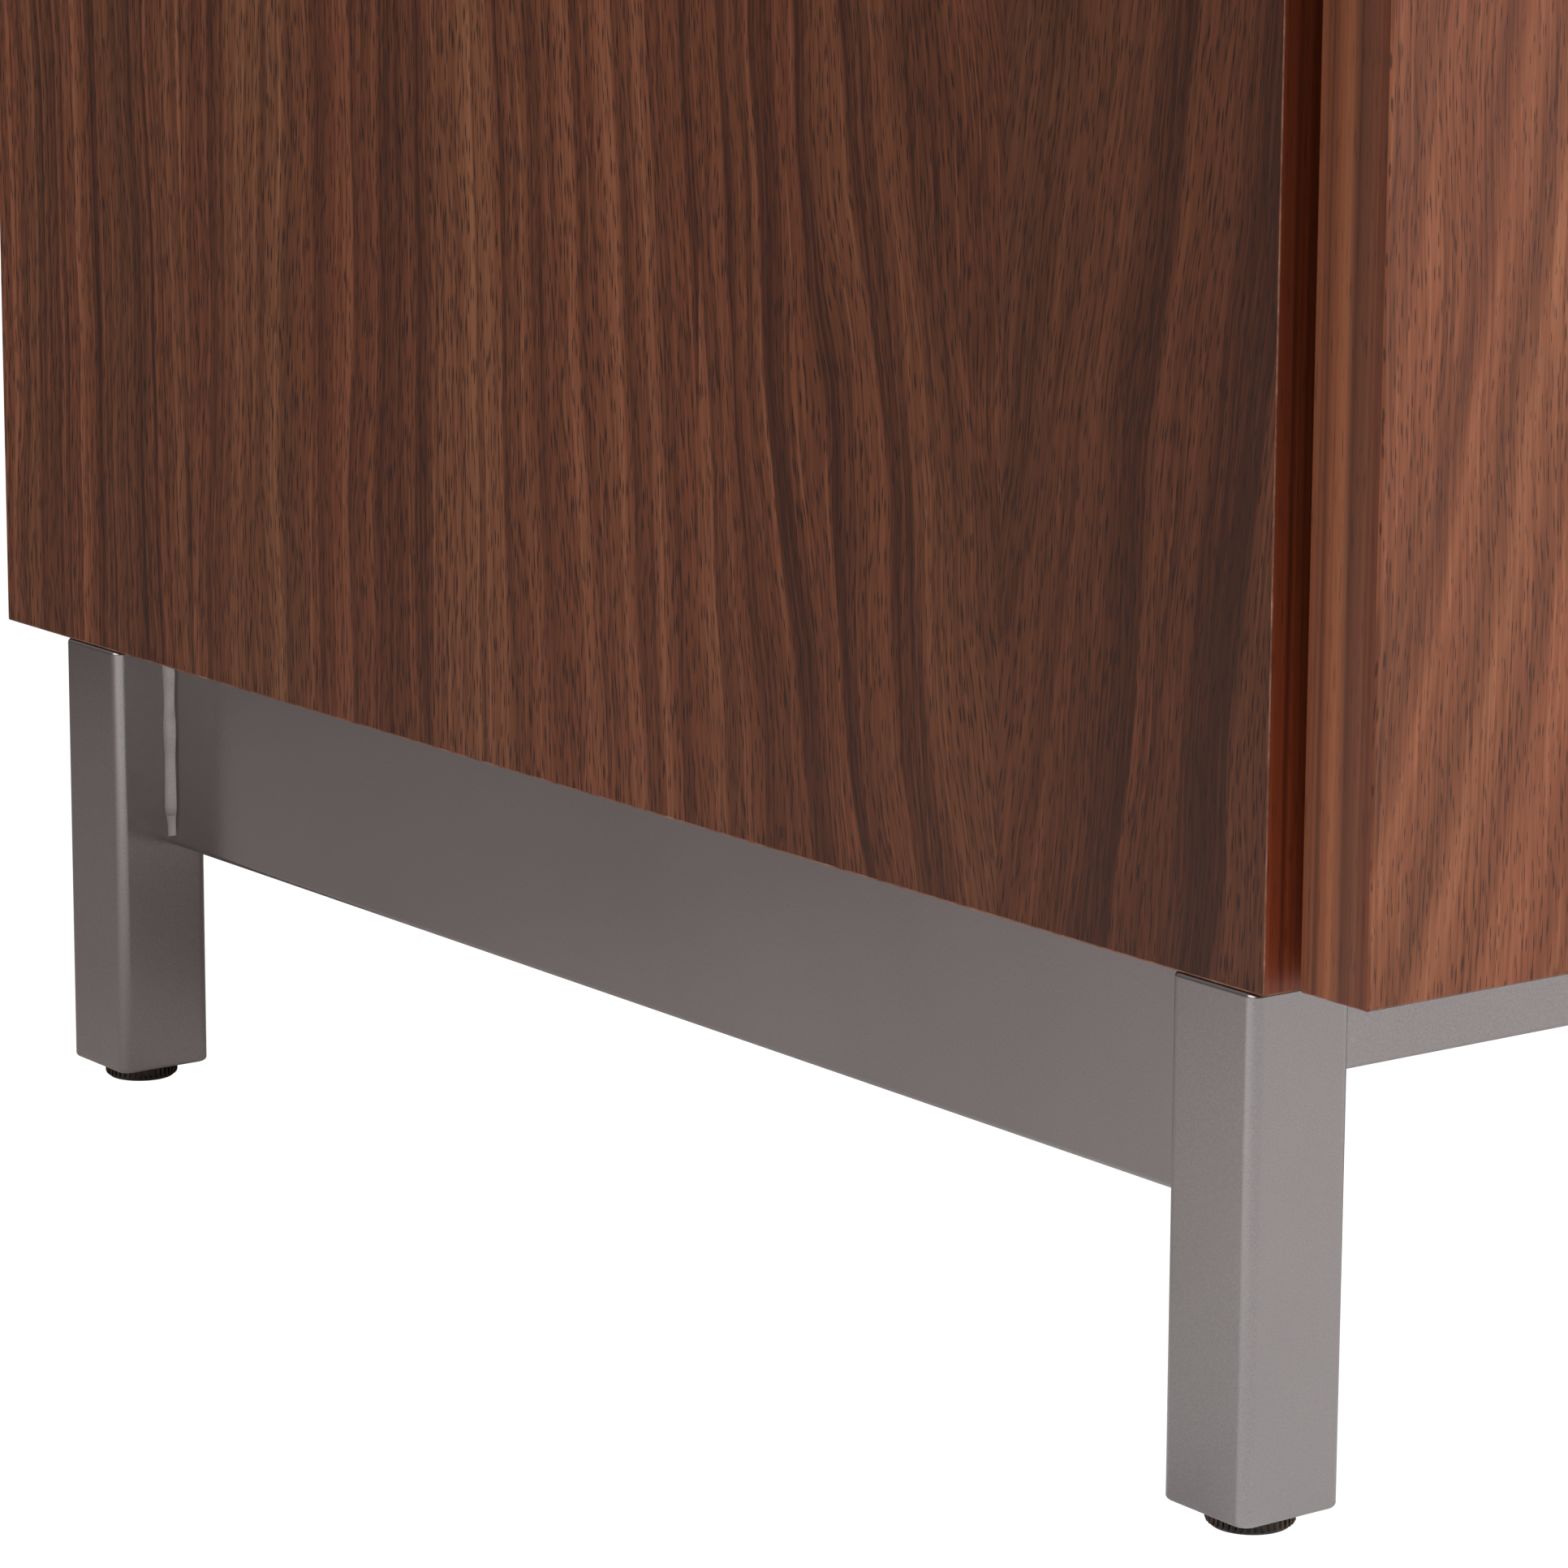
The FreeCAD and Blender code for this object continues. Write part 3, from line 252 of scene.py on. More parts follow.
    # Pores: short dark dashes along the grain, thicker set in the dark of each ring
    pores = 0.0
    crowded = g.plus(middle, g.times(shade[2], 0.10))
    edge = g.remap(crowded, 0.36, 0.66, 0.25, given["Pore"])
    for width, length in ((0.00075, 0.0170), (0.0012, 0.0110)):
        place = g.point(g.over(off, width), g.over(along, length), own)
        cell = g.add("ShaderNodeTexVoronoi", {"Vector": place, "Scale": 1.0, "Randomness": 1.0},
                     voronoi_dimensions="2D").outputs["Distance"]
        dash = g.maths("SUBTRACT", 1.0, g.remap(g.over(cell, edge), 0.55, 1.0), clamp=True)
        pores = g.maths("MAXIMUM", dash, pores)
    out = g.add("NodeGroupOutput")
    for name, value in (("Figure", figure), ("Hue", hue), ("Pores", pores), ("Fibre", streak)):
        g.feed(out.inputs[name], value)
    return tree


WALNUT = walnut_figure_group()


def walnut_veneer(name, across, along, seed, tone=1.0, start=0.0, pores=0.72, **figure):
    """Walnut veneer under satin lacquer.

    tone lightens it, start is where its rings begin along the grain, pores is how dark its pores are.
    """
    material, g, coords = start_finish(name)
    inputs = {"Across": g.axis(coords, across), "Along": g.minus(g.axis(coords, along), start), "Seed": seed}
    inputs.update({key.capitalize(): value for key, value in figure.items()})
    group = g.add("ShaderNodeGroup", node_tree=WALNUT)
    for socket, value in inputs.items():
        g.feed(group.inputs[socket], value)
    parts = group.outputs
    red = g.ramp(parts["Figure"], [(0.12, (0.050, 0.0135, 0.0068)), (0.50, (0.158, 0.0455, 0.0200)),
                                   (0.88, (0.300, 0.1030, 0.0520))])
    brown = g.ramp(parts["Figure"], [(0.12, (0.046, 0.0160, 0.0080)), (0.50, (0.148, 0.0525, 0.0228)),
                                     (0.88, (0.275, 0.1110, 0.0545))])
    colour = g.mix(g.remap(parts["Hue"], 0.32, 0.68), red, brown)
    colour = g.mix(g.times(parts["Pores"], pores), colour, (0.025, 0.008, 0.005))
    colour = g.mix(1.0, colour, (tone, tone, tone), "MULTIPLY")
    lay_finish(g, {"Base Color": colour, "Roughness": g.remap(parts["Fibre"], 0.2, 0.8, 0.36, 0.48),
                   "Specular IOR Level": 0.22},
               g.minus(g.times(parts["Fibre"], 0.3), parts["Pores"]), 0.05 * MM, 0.6)
    return material


def edge_band(name, across, along, seed, tint=(1.0, 1.0, 1.0), span=None, tones=(), fade=None):
    """Thin solid-wood band on a board's edge: straight stripes along it.

    tones colour it from side to side over its span; fade lightens or darkens it from one height to another,
    painted light and shade.
    """
    material, g, coords = start_finish(name)
    side, length = g.axis(coords, across), g.axis(coords, along)

    def stripes(width, run, detail=2.0):
        return g.noise(g.point(g.over(side, width), g.over(length, run), seed), 1.0, detail, 0.55)

    wide = stripes(0.0040, 1.1)
    fine = stripes(0.0011, 0.30)
    dashes = stripes(0.00045, 0.009, 1.0)
    figure = g.plus(g.times(wide, 0.85), g.times(fine, 0.45))
    colour = g.ramp(figure, [(0.45, (0.080, 0.030, 0.0155)), (0.65, (0.185, 0.072, 0.0350)),
                             (0.85, (0.290, 0.125, 0.0620))])
    colour = g.mix(g.remap(dashes, 0.60, 0.72, 0.0, 0.5), colour, (0.030, 0.010, 0.006))
    colour = g.mix(1.0, colour, tint, "MULTIPLY")
    if span:
        sway = g.times(g.minus(wide, 0.5), (span[1] - span[0]) * 0.35)
        colour = g.mix(1.0, colour, g.ramp(g.remap(g.plus(side, sway), *span), tones), "MULTIPLY")
    # Painted light and shade: lighter or darker from one height to another
    if fade:
        gain = g.remap(length, *fade, soft=True)
        colour = g.mix(1.0, colour, g.point(gain, gain, gain), "MULTIPLY")
    lay_finish(g, {"Base Color": colour, "Roughness": g.remap(fine, 0.2, 0.8, 0.36, 0.48),
                   "Specular IOR Level": 0.30}, fine, 0.05 * MM, 0.4)
    return material


def arris_wear_and_highlight(name):
    """The barely broken edge of a board, pale partly where the lacquer is thin and partly as a painted
    highlight along the edge.
    """
    material, g, coords = start_finish(name)
    patchy = g.noise(coords, 160.0, 3.0, 0.65)
    # Painted highlight: the light end of the ramp makes the edges read as lit lines
    colour = g.ramp(patchy, [(0.35, (0.13, 0.050, 0.032)), (0.60, (0.25, 0.115, 0.078)),
                             (0.80, (0.42, 0.26, 0.20))])
    lay_finish(g, {"Base Color": colour, "Roughness": g.remap(patchy, 0.3, 0.7, 0.60, 0.75),
                   "Specular IOR Level": 0.10}, patchy, 0.05 * MM, 0.3)
    return material


# Metal, plastic, birch and board

def powder_coat(name, rough):
    """Satin powder coat, warm grey with a fine fleck and a faint orange peel."""
    material, g, coords = start_finish(name)
    cloud = g.noise(coords, 14.0, 3.0, 0.55)
    fleck = g.noise(coords, 3800.0, 1.0, 0.5)
    peel = g.noise(coords, 900.0, 2.0, 0.5)
    colour = g.ramp(cloud, [(0.3, (0.285, 0.261, 0.256)), (0.7, (0.305, 0.279, 0.274))])
    colour = g.mix(g.remap(fleck, 0.35, 0.65), g.mix(1.0, colour, (0.91, 0.91, 0.915), "MULTIPLY"),
                   g.mix(1.0, colour, (1.09, 1.088, 1.085), "MULTIPLY"))
    lay_finish(g, {"Base Color": colour, "Roughness": g.remap(peel, 0.2, 0.8, rough - 0.03, rough + 0.03),
                   "Metallic": 1.0}, peel, 0.03 * MM, 0.35)
    return material


def plated(name, dark, light, rough, grain=700.0):
    """Plated steel with cloudy zinc or nickel and a fine rubbed grain."""
    material, g, coords = start_finish(name)
    cloud = g.noise(coords, 120.0, 3.0, 0.6)
    grit = g.noise(coords, grain, 2.0, 0.6)
    lay_finish(g, {"Base Color": g.ramp(cloud, [(0.3, dark), (0.7, light)]), "Metallic": 1.0,
                   "Roughness": g.remap(grit, 0.2, 0.8, rough - 0.06, rough + 0.10)}, grit, 0.02 * MM, 0.25)
    return material


def moulded(name, dark, light, rough):
    """Moulded plastic with a fine spark-eroded grain."""
    material, g, coords = start_finish(name)
    grain = g.noise(coords, 1800.0, 2.0, 0.6)
    cloud = g.noise(coords, 60.0, 2.0, 0.5)
    lay_finish(g, {"Base Color": g.ramp(cloud, [(0.3, dark), (0.7, light)]),
                   "Roughness": g.remap(grain, 0.2, 0.8, rough - 0.08, rough + 0.08)}, grain, 0.04 * MM, 0.4)
    return material


def birch(name, across, along, seed):
    """Clear-lacquered birch with fine lengthwise fibre."""
    material, g, coords = start_finish(name)
    place = g.point(g.over(g.axis(coords, across), 0.012), g.over(g.axis(coords, along), 0.45), seed)
    soft = g.noise(place, 1.0, 4.0, 0.62, 0.4)
    hair = g.noise(place, 9.0, 2.0, 0.6)
    figure = g.plus(g.times(soft, 0.75), g.times(hair, 0.25))
    colour = g.ramp(figure, [(0.32, (0.42, 0.265, 0.140)), (0.55, (0.56, 0.385, 0.225)),
                             (0.75, (0.64, 0.47, 0.30))])
    lay_finish(g, {"Base Color": colour, "Roughness": g.remap(hair, 0.2, 0.8, 0.36, 0.50)},
               hair, 0.04 * MM, 0.4)
    return material


def plywood_edge(name, across, ply):
    """Plies seen on the edge of a drawer side: light and dark by turns."""
    material, g, coords = start_finish(name)
    jitter = g.times(g.noise(coords, 60.0, 2.0), 0.35)
    count = g.plus(g.over(g.axis(coords, across), ply), jitter)
    turn = g.maths("SINE", g.times(count, math.pi))
    grit = g.noise(coords, 1400.0, 2.0, 0.7)
    colour = g.ramp(g.remap(turn, -0.5, 0.5), [(0.0, (0.36, 0.215, 0.110)), (1.0, (0.60, 0.43, 0.265))])
    colour = g.mix(g.remap(grit, 0.55, 0.75, 0.0, 0.4), colour, (0.20, 0.11, 0.055))
    lay_finish(g, {"Base Color": colour, "Roughness": g.remap(grit, 0.2, 0.8, 0.45, 0.65)},
               grit, 0.06 * MM, 0.4)
    return material


FINISH = {
    "side_left": walnut_veneer(
        "walnut_end_left", "y", "z", 2.0, 0.79, start=case_bottom, pores=0.90, pore=0.18,
        joint=case_front + 0.082, leaf=0.311, crown=-0.150, pith=0.030, rise=-0.08, fan=0.070, spread=0.6,
        strip=0.1028, first=-0.01, broad=0.50, dense=1.3, contrast=1.25, hair=0.10, edge=0.90, fade=0.62),
    "side_right": walnut_veneer(
        "walnut_end_right", "y", "z", 9.0, start=case_bottom, joint=case_front + 0.060,
        leaf=0.311, crown=-0.110, pith=0.040, rise=-0.08, fan=0.050, spread=0.7),
    "top": walnut_veneer(
        "walnut_top", "y", "x", 15.0, 1.1, joint=case_front + 0.02, leaf=0.240, crown=0.010, pith=0.060,
        rise=0.045),
    "front": walnut_veneer(
        "walnut_fronts", "x", "z", 23.0, 1.17, start=door_low.z, joint=door_low.x - 0.002, leaf=0.252,
        crown=-0.240, pith=0.120, rise=-0.30, contrast=1.05, hair=0.03, edge=0.68),
    "inside": walnut_veneer(
        "walnut_inside", "y", "z", 31.0, joint=0.0, leaf=0.20, crown=0.02, pith=0.06, rise=-0.05),
    "level": walnut_veneer(
        "walnut_level", "y", "x", 37.0, joint=0.0, leaf=0.24, crown=-0.02, pith=0.06, rise=0.05),
    # Front edges of upright boards: the dark red tint is painted shade and painted reddish bounce from the
    # door in front, and the lighter foot is painted light from below
    "band_upright_x_shaded": edge_band(
        "walnut_band_upright_painted_shade", "x", "z", 3.0, (0.66, 0.32, 0.21),
        fade=(case_bottom, case_bottom + 0.13, 1.65, 1.0)),
    "band_upright_y": edge_band(
        "walnut_band_door_edge", "y", "z", 5.0, (0.76, 0.67, 0.65), span=(door_low.y, door_high.y),
        tones=[(0.00, (1.05, 0.84, 0.78)), (0.12, (1.00, 0.82, 0.76)), (0.22, (0.76, 0.68, 0.66)),
               (0.50, (0.92, 0.84, 0.78)), (0.66, (1.18, 1.00, 0.82)), (0.84, (1.06, 0.90, 0.76)),
               (1.00, (1.14, 0.96, 0.80))],
        # Painted light and shade: the door's edge is lighter at its foot and darker higher up
        fade=(case_bottom, case_bottom + 0.30, 1.0, 0.72)),
    "band_level_x": edge_band("walnut_band_level", "z", "x", 7.0),
    "band_level_y": edge_band("walnut_band_under", "x", "y", 9.0),
    "arris": arris_wear_and_highlight("walnut_arris_wear_and_painted_highlight"),
    "steel": powder_coat("powder_coat_warm_grey", 0.19),
    "bead": powder_coat("powder_coat_on_beads", 0.32),
    "nickel": plated("nickel_plate", (0.50, 0.47, 0.43), (0.62, 0.59, 0.54), 0.24),
    "zinc": plated("zinc_plate", (0.42, 0.43, 0.44), (0.58, 0.59, 0.60), 0.32, 380.0),
    "bore": moulded("pin_hole_painted_shade", (0.006, 0.005, 0.005), (0.012, 0.010, 0.009), 0.8),
    "bumper": moulded("bumper_clear_rubber", (0.42, 0.42, 0.40), (0.52, 0.52, 0.50), 0.25),
    "foot": moulded("foot_black_plastic", (0.010, 0.008, 0.008), (0.020, 0.017, 0.015), 0.42),
    "foot_crest": plated("foot_rubbed_crest", (0.010, 0.008, 0.007), (0.11, 0.080, 0.058), 0.30),
    "latch": moulded("latch_dark_plastic", (0.020, 0.020, 0.021), (0.034, 0.034, 0.035), 0.50),
    "back": walnut_veneer(
        "back_board", "x", "z", 41.0, 0.8, joint=0.0, leaf=0.42, crown=0.0, pith=0.09, rise=-0.04),
    "birch_side": birch("birch_side", "z", "y", 4.0),
    "birch_across": birch("birch_across", "z", "x", 6.0),
    "birch_flat": birch("birch_bottom", "x", "y", 8.0),
    "ply_x": plywood_edge("birch_ply_edge", "x", 0.0015),
    "ply_y": plywood_edge("birch_ply_edge_across", "y", 0.0015),
}


# Pieces

def placed(name, data):
    """A new object of the scene that holds the data."""
    item = bpy.data.objects.new(name, data)
    bpy.context.scene.collection.objects.link(item)
    return item


def settled(item):
    """The object's mesh with its modifiers applied, the object itself removed."""
    graph = bpy.context.evaluated_depsgraph_get()
    mesh = bpy.data.meshes.new_from_object(item.evaluated_get(graph))
    bpy.data.objects.remove(item)
    return mesh


def shade(mesh, angle=30.0):
    """Smooth shading that keeps corners crisp and broad faces flat."""
    mesh.shade_smooth()
    mesh.set_sharp_from_angle(angle=math.radians(angle))
    item = placed("shading", mesh)
    weigh = item.modifiers.new("weigh", "WEIGHTED_NORMAL")
    weigh.keep_sharp = True
    weigh.weight = 90
    return settled(item)


def piece(name, mesh, body, finishes, stands_for=()):
    """Put a finished mesh on its body, with its finishes in order."""
    mesh.name = name
    for finish in finishes:
        mesh.materials.append(FINISH[finish])
    item = placed(name, mesh)
    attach(item, body)
    if stands_for:
        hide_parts(*stands_for)
    return item


def merged_copy(node):
    """The node's solid as one clean bmesh, flat faces joined."""
    shape = bmesh.new()
    shape.from_mesh(frame["nodes"][node].data)
    bmesh.ops.remove_doubles(shape, verts=shape.verts, dist=1e-6)
    bmesh.ops.dissolve_limit(shape, angle_limit=math.radians(0.4), verts=shape.verts, edges=shape.edges)
    return shape


def hard_edges(shape, corner):
    return [edge for edge in shape.edges if len(edge.link_faces) == 2 and edge.calc_face_angle(0) > corner]


def to_mesh(shape, name):
    mesh = bpy.data.meshes.new(name)
    shape.to_mesh(mesh)
    shape.free()
    return mesh


def draw_in_rounding(shape):
    """Draw the rounding of a front's rear edges in towards its corners, to a share of its size."""
    low = Vector([min(vert.co[k] for vert in shape.verts) for k in range(3)])
    high = Vector([max(vert.co[k] for vert in shape.verts) for k in range(3)])
    reach = REAR_ROUNDING + NEARLY
    for vert in shape.verts:
        depth = high.y - vert.co.y
        if depth > reach:
            continue
        for k in (0, 2):
            for bound in (low[k], high[k]):
                if abs(vert.co[k] - bound) < reach:
                    vert.co[k] = bound + (vert.co[k] - bound) * REAR_ROUNDING_SHARE
                    vert.co.y = high.y - depth * REAR_ROUNDING_SHARE


def dressed_board(node, body, finishes, order, width=SLIGHT_BREAK, foot=None, rear_rounding=False):
    """A board with broken edges, those round its foot broken by their own width.

    order numbers the finishes of the faces that look along X, Y and Z.
    """
    shape = merged_copy(node)
    if rear_rounding:
        draw_in_rounding(shape)
    foot = foot or width
    bottom = min(vert.co.z for vert in shape.verts) + NEARLY
    weight = shape.edges.layers.float.new("bevel_weight_edge")
    for face in shape.faces:
        face.material_index = order[max(range(3), key=lambda k: abs(face.normal[k]))]
    for edge in hard_edges(shape, BOARD_CORNER):
        own = foot if all(vert.co.z < bottom for vert in edge.verts) else width
        edge[weight] = own / max(foot, width)
    mesh = to_mesh(shape, node)
    for finish in finishes:
        mesh.materials.append(FINISH[finish])
    item = placed(node, mesh)
    bevel = item.modifiers.new("break_edges", "BEVEL")
    bevel.limit_method = "WEIGHT"
    bevel.width = max(foot, width)
    bevel.segments = 2
    bevel.material = finishes.index("arris") if "arris" in finishes else -1
    return piece(f"{node}_dressed", shade(settled(item)), body, (), (node,))


def dress_boards():
    """The boards of the case, the doors and the drawers."""
    upright, level, slab = (0, 1, 2), (2, 1, 0), (1, 0, 2)
    upright_bands = ("band_upright_x_shaded", "band_level_y", "arris")
    level_bands = ("band_level_x", "band_level_y", "arris")
    front = ("front", "band_upright_y", "band_level_x", "arris")
    for side in SIDES:
        dressed_board(f"side_panel_{side}", "cabinet", (f"side_{side}", *upright_bands),
                      upright, foot=PANEL_FOOT_BREAK)
        dressed_board(f"partition_{side}", "cabinet", ("inside", *upright_bands), upright)
        dressed_board(f"shelf_{side}", "cabinet", ("level", *level_bands), level)
        dressed_board(f"door_{side}", f"door_{side}", front, slab,
                      foot=FRONT_FOOT_BREAK, rear_rounding=True)
    for node, finish in (("top_panel", "top"), ("bottom_panel", "level")):
        dressed_board(node, "cabinet", (finish, *level_bands), level)
    back = frame["nodes"]["back_panel"].data.materials
    back.clear()
    back.append(FINISH["back"])
    for height in LEVELS:
        body = f"drawer_{height}"
        dressed_board(f"drawer_front_{height}", body, front, slab,
                      foot=FRONT_FOOT_BREAK, rear_rounding=True)
        for side in SIDES:
            dressed_board(f"drawer_side_{side}_{height}", body,
                          ("birch_side", "ply_x", "ply_x"), upright, BIRCH_BREAK)
        dressed_board(f"drawer_back_{height}", body,
                      ("birch_across", "ply_y", "ply_y"), slab, BIRCH_BREAK)
        dressed_board(f"drawer_bottom_{height}", body,
                      ("birch_flat", "birch_flat"), (0, 0, 0), BOTTOM_BREAK)


def softened(node, body, finish, width=0.0):
    """A fitting with its hard corners eased."""
    shape = merged_copy(node)
    if width:
        bmesh.ops.bevel(shape, geom=hard_edges(shape, FITTING_CORNER), offset=width, offset_type="OFFSET",
                        segments=2, profile=0.5, affect="EDGES", clamp_overlap=True, material=0)
    mesh = shade(to_mesh(shape, node), 32.0)
    return piece(f"{node}_dressed", mesh, body, (finish,), (node,))


def dress_fittings():
    """The steel base, the hinges, the latches, the pins and the runners."""
    for side in SIDES:
        softened(f"rail_{side}", "cabinet", "steel")
        softened(f"hinge_cups_{side}", f"door_{side}", "nickel")
        softened(f"hinge_links_{side}", f"hinge_link_{side}", "nickel")
        softened(f"latch_plunger_{side}", f"latch_plunger_{side}", "latch", 0.4 * MM)
    for node in ("rail_front", "rail_rear"):
        softened(node, "cabinet", "steel")
    softened("frame_tabs", "cabinet", "steel", 0.4 * MM)
    softened("hinge_arms", "cabinet", "nickel")
    softened("hinge_plates", "cabinet", "nickel", 0.3 * MM)
    softened("latch_housings", "cabinet", "latch", 0.6 * MM)
    softened("shelf_pins", "cabinet", "zinc", 0.4 * MM)
    softened("runner_cabinet_members", "cabinet", "zinc")
    for level in LEVELS:
        softened(f"runner_middle_{level}", f"runner_{level}", "zinc")
        softened(f"runner_inner_{level}", f"drawer_{level}", "zinc")


# Small parts that repeat or follow a path, grown on marks by node trees

def shape_tree(name, sizes):
    """A new shape tree with its named sizes: its wiring and its inputs."""
    tree = bpy.data.node_groups.new(name, "GeometryNodeTree")
    face = tree.interface
    face.new_socket("Marks", in_out="INPUT", socket_type="NodeSocketGeometry")
    for label, value in sizes.items():
        kind = "NodeSocketInt" if isinstance(value, int) else "NodeSocketFloat"
        face.new_socket(label, in_out="INPUT", socket_type=kind).default_value = value
    face.new_socket("Pieces", in_out="OUTPUT", socket_type="NodeSocketGeometry")
    g = Graph(tree)
    return g, g.add("NodeGroupInput").outputs


def deliver(g, *finished):
    """Join the finished shapes at the tree's end; each comes as its geometry and its finish."""
    joined = g.add("GeometryNodeJoinGeometry")
    for geometry, finish in reversed(finished):
        solid = g.out("GeometryNodeRealizeInstances", {0: geometry})
        coated = g.out("GeometryNodeSetMaterial", {"Geometry": solid, "Material": FINISH[finish]})
        g.feed(joined.inputs[0], coated)
    g.feed(g.add("NodeGroupOutput").inputs[0], joined.outputs[0])
    return g.tree


def circle(g, sides, radius):
    return g.out("GeometryNodeCurvePrimitiveCircle", {"Resolution": sides, "Radius": radius})


def turned_shape(g, height, points, sides, radius_at):
    """A closed shape turned about Z; radius_at gives its radius for the share of its height."""
    line = g.out("GeometryNodeCurvePrimitiveLine", {"End": g.point(0.0, 0.0, height)})
    line = g.out("GeometryNodeResampleCurve", {"Curve": line, "Count": points}, mode="COUNT")
    share = g.add("GeometryNodeSplineParameter").outputs["Factor"]
    line = g.out("GeometryNodeSetCurveRadius", {"Curve": line, "Radius": radius_at(share)})
    return swept(g, line, circle(g, sides, 1.0))


def swept(g, path, section):
    node = g.add("GeometryNodeCurveToMesh", {"Curve": path, "Profile Curve": section, "Fill Caps": True})
    if "Scale" in node.inputs:
        g.feed(node.inputs["Scale"], g.out("GeometryNodeInputRadius"))
    return node.outputs[0]


def moved(g, geometry, rise):
    return g.out("GeometryNodeTransform", {"Geometry": geometry, "Translation": g.point(0.0, 0.0, rise)})


def domed(g, fall):
    """The share of the radius that is left on a dome; fall is the square of the share of its height."""
    return g.maths("SQRT", g.minus(1.0, fall))


def set_on_marks(g, marks, shape, spin=0.0):
    """Copies of the shape on the marks, standing along each mark's facing, each turned by chance."""
    facing = g.out("GeometryNodeInputNamedAttribute", {"Name": "facing"}, data_type="FLOAT_VECTOR")
    stand = g.out("FunctionNodeAlignRotationToVector", {"Vector": facing}, axis="Z")
    chance = g.add("FunctionNodeRandomValue", {"Min": 0.0, "Max": spin, "Seed": 5}, data_type="FLOAT")
    angle = next(socket for socket in chance.outputs if socket.enabled)
    turn = g.out("FunctionNodeAxisAngleToRotation", {"Axis": (0, 0, 1), "Angle": angle})
    both = {"Rotation": stand, "Rotate By": turn}
    stand = g.out("FunctionNodeRotateRotation", both, rotation_space="LOCAL")
    return g.out("GeometryNodeInstanceOnPoints", {"Points": marks, "Instance": shape, "Rotation": stand})


def grown(tree, marks, name, body, sizes=None, stands_for=(), edges=(), angle=35.0):
    """Grow a tree on marks (place, facing) and put the plain mesh on its body."""
    mesh = bpy.data.meshes.new(name)
    mesh.from_pydata([place for place, _ in marks], list(edges), [])
    facing = mesh.attributes.new("facing", "FLOAT_VECTOR", "POINT")
    for row, (_, way) in enumerate(marks):
        facing.data[row].vector = way
    item = placed(name, mesh)
    modifier = item.modifiers.new("grow", "NODES")
    modifier.node_group = tree
    for socket in tree.interface.items_tree:
        if sizes and socket.name in sizes and socket.in_out == "INPUT":
            modifier[socket.identifier] = sizes[socket.name]
    return piece(name, shade(settled(item), angle), body, (), stands_for)


def screw_size(radius, height=2.0, depth=1.1, recess=0.9):
    return {"Radius": radius * MM, "Height": height * MM, "Recess": recess * MM, "Depth": depth * MM}


def screw_tree(name, finish):
    """Cross-recessed pan-head screw."""
    g, given = shape_tree(name, screw_size(3.5))

    def radius_at(share):
        past = g.over(g.maths("MAXIMUM", g.minus(share, 0.30), 0.0), 0.80)
        return g.times(given["Radius"], domed(g, g.times(past, past)))

    head = turned_shape(g, given["Height"], 8, 20, radius_at)
    cutter = g.add("GeometryNodeMeshBoolean", {"Mesh 1": head}, operation="DIFFERENCE", solver="EXACT")
    long_side = g.times(given["Radius"], 1.15)
    deep = g.times(given["Depth"], 2.0)
    for size in (g.point(long_side, given["Recess"], deep), g.point(given["Recess"], long_side, deep)):
        bar = g.out("GeometryNodeMeshCube", {"Size": size})
        g.feed(cutter.inputs["Mesh 2"], moved(g, bar, given["Height"]))
    return deliver(g, (set_on_marks(g, given["Marks"], cutter.outputs[0], 1.57), finish))


def sleeve_tree():
    """Plated rim of a shelf-pin hole, and a thin dark disc inside it: painted shade for the hole."""
    g, given = shape_tree("pin_hole_sleeve", {"Bore": 2.6 * MM, "Rim": 0.45 * MM})
    around = circle(g, 20, g.plus(given["Bore"], given["Rim"]))
    rim = g.out("GeometryNodeCurveToMesh", {"Curve": around, "Profile Curve": circle(g, 6, given["Rim"])})
    # Painted shade: a thin dark disc stands in for the shaded inside of the hole, which is not cut
    hole_shade_disc = turned_shape(g, 0.12 * MM, 2, 20, lambda share: given["Bore"])
    return deliver(g, (set_on_marks(g, given["Marks"], rim), "zinc"),
                   (set_on_marks(g, given["Marks"], hole_shade_disc), "bore"))


def bumper_tree():
    """Clear stick-on bumper: a low dome."""
    g, given = shape_tree("door_bumper", {"Radius": 4.5 * MM, "Height": 2.6 * MM})

    def radius_at(share):
        return g.times(given["Radius"], domed(g, g.times(share, g.times(share, 0.86))))

    dome = turned_shape(g, given["Height"], 9, 24, radius_at)
    return deliver(g, (set_on_marks(g, given["Marks"], dome), "bumper"))


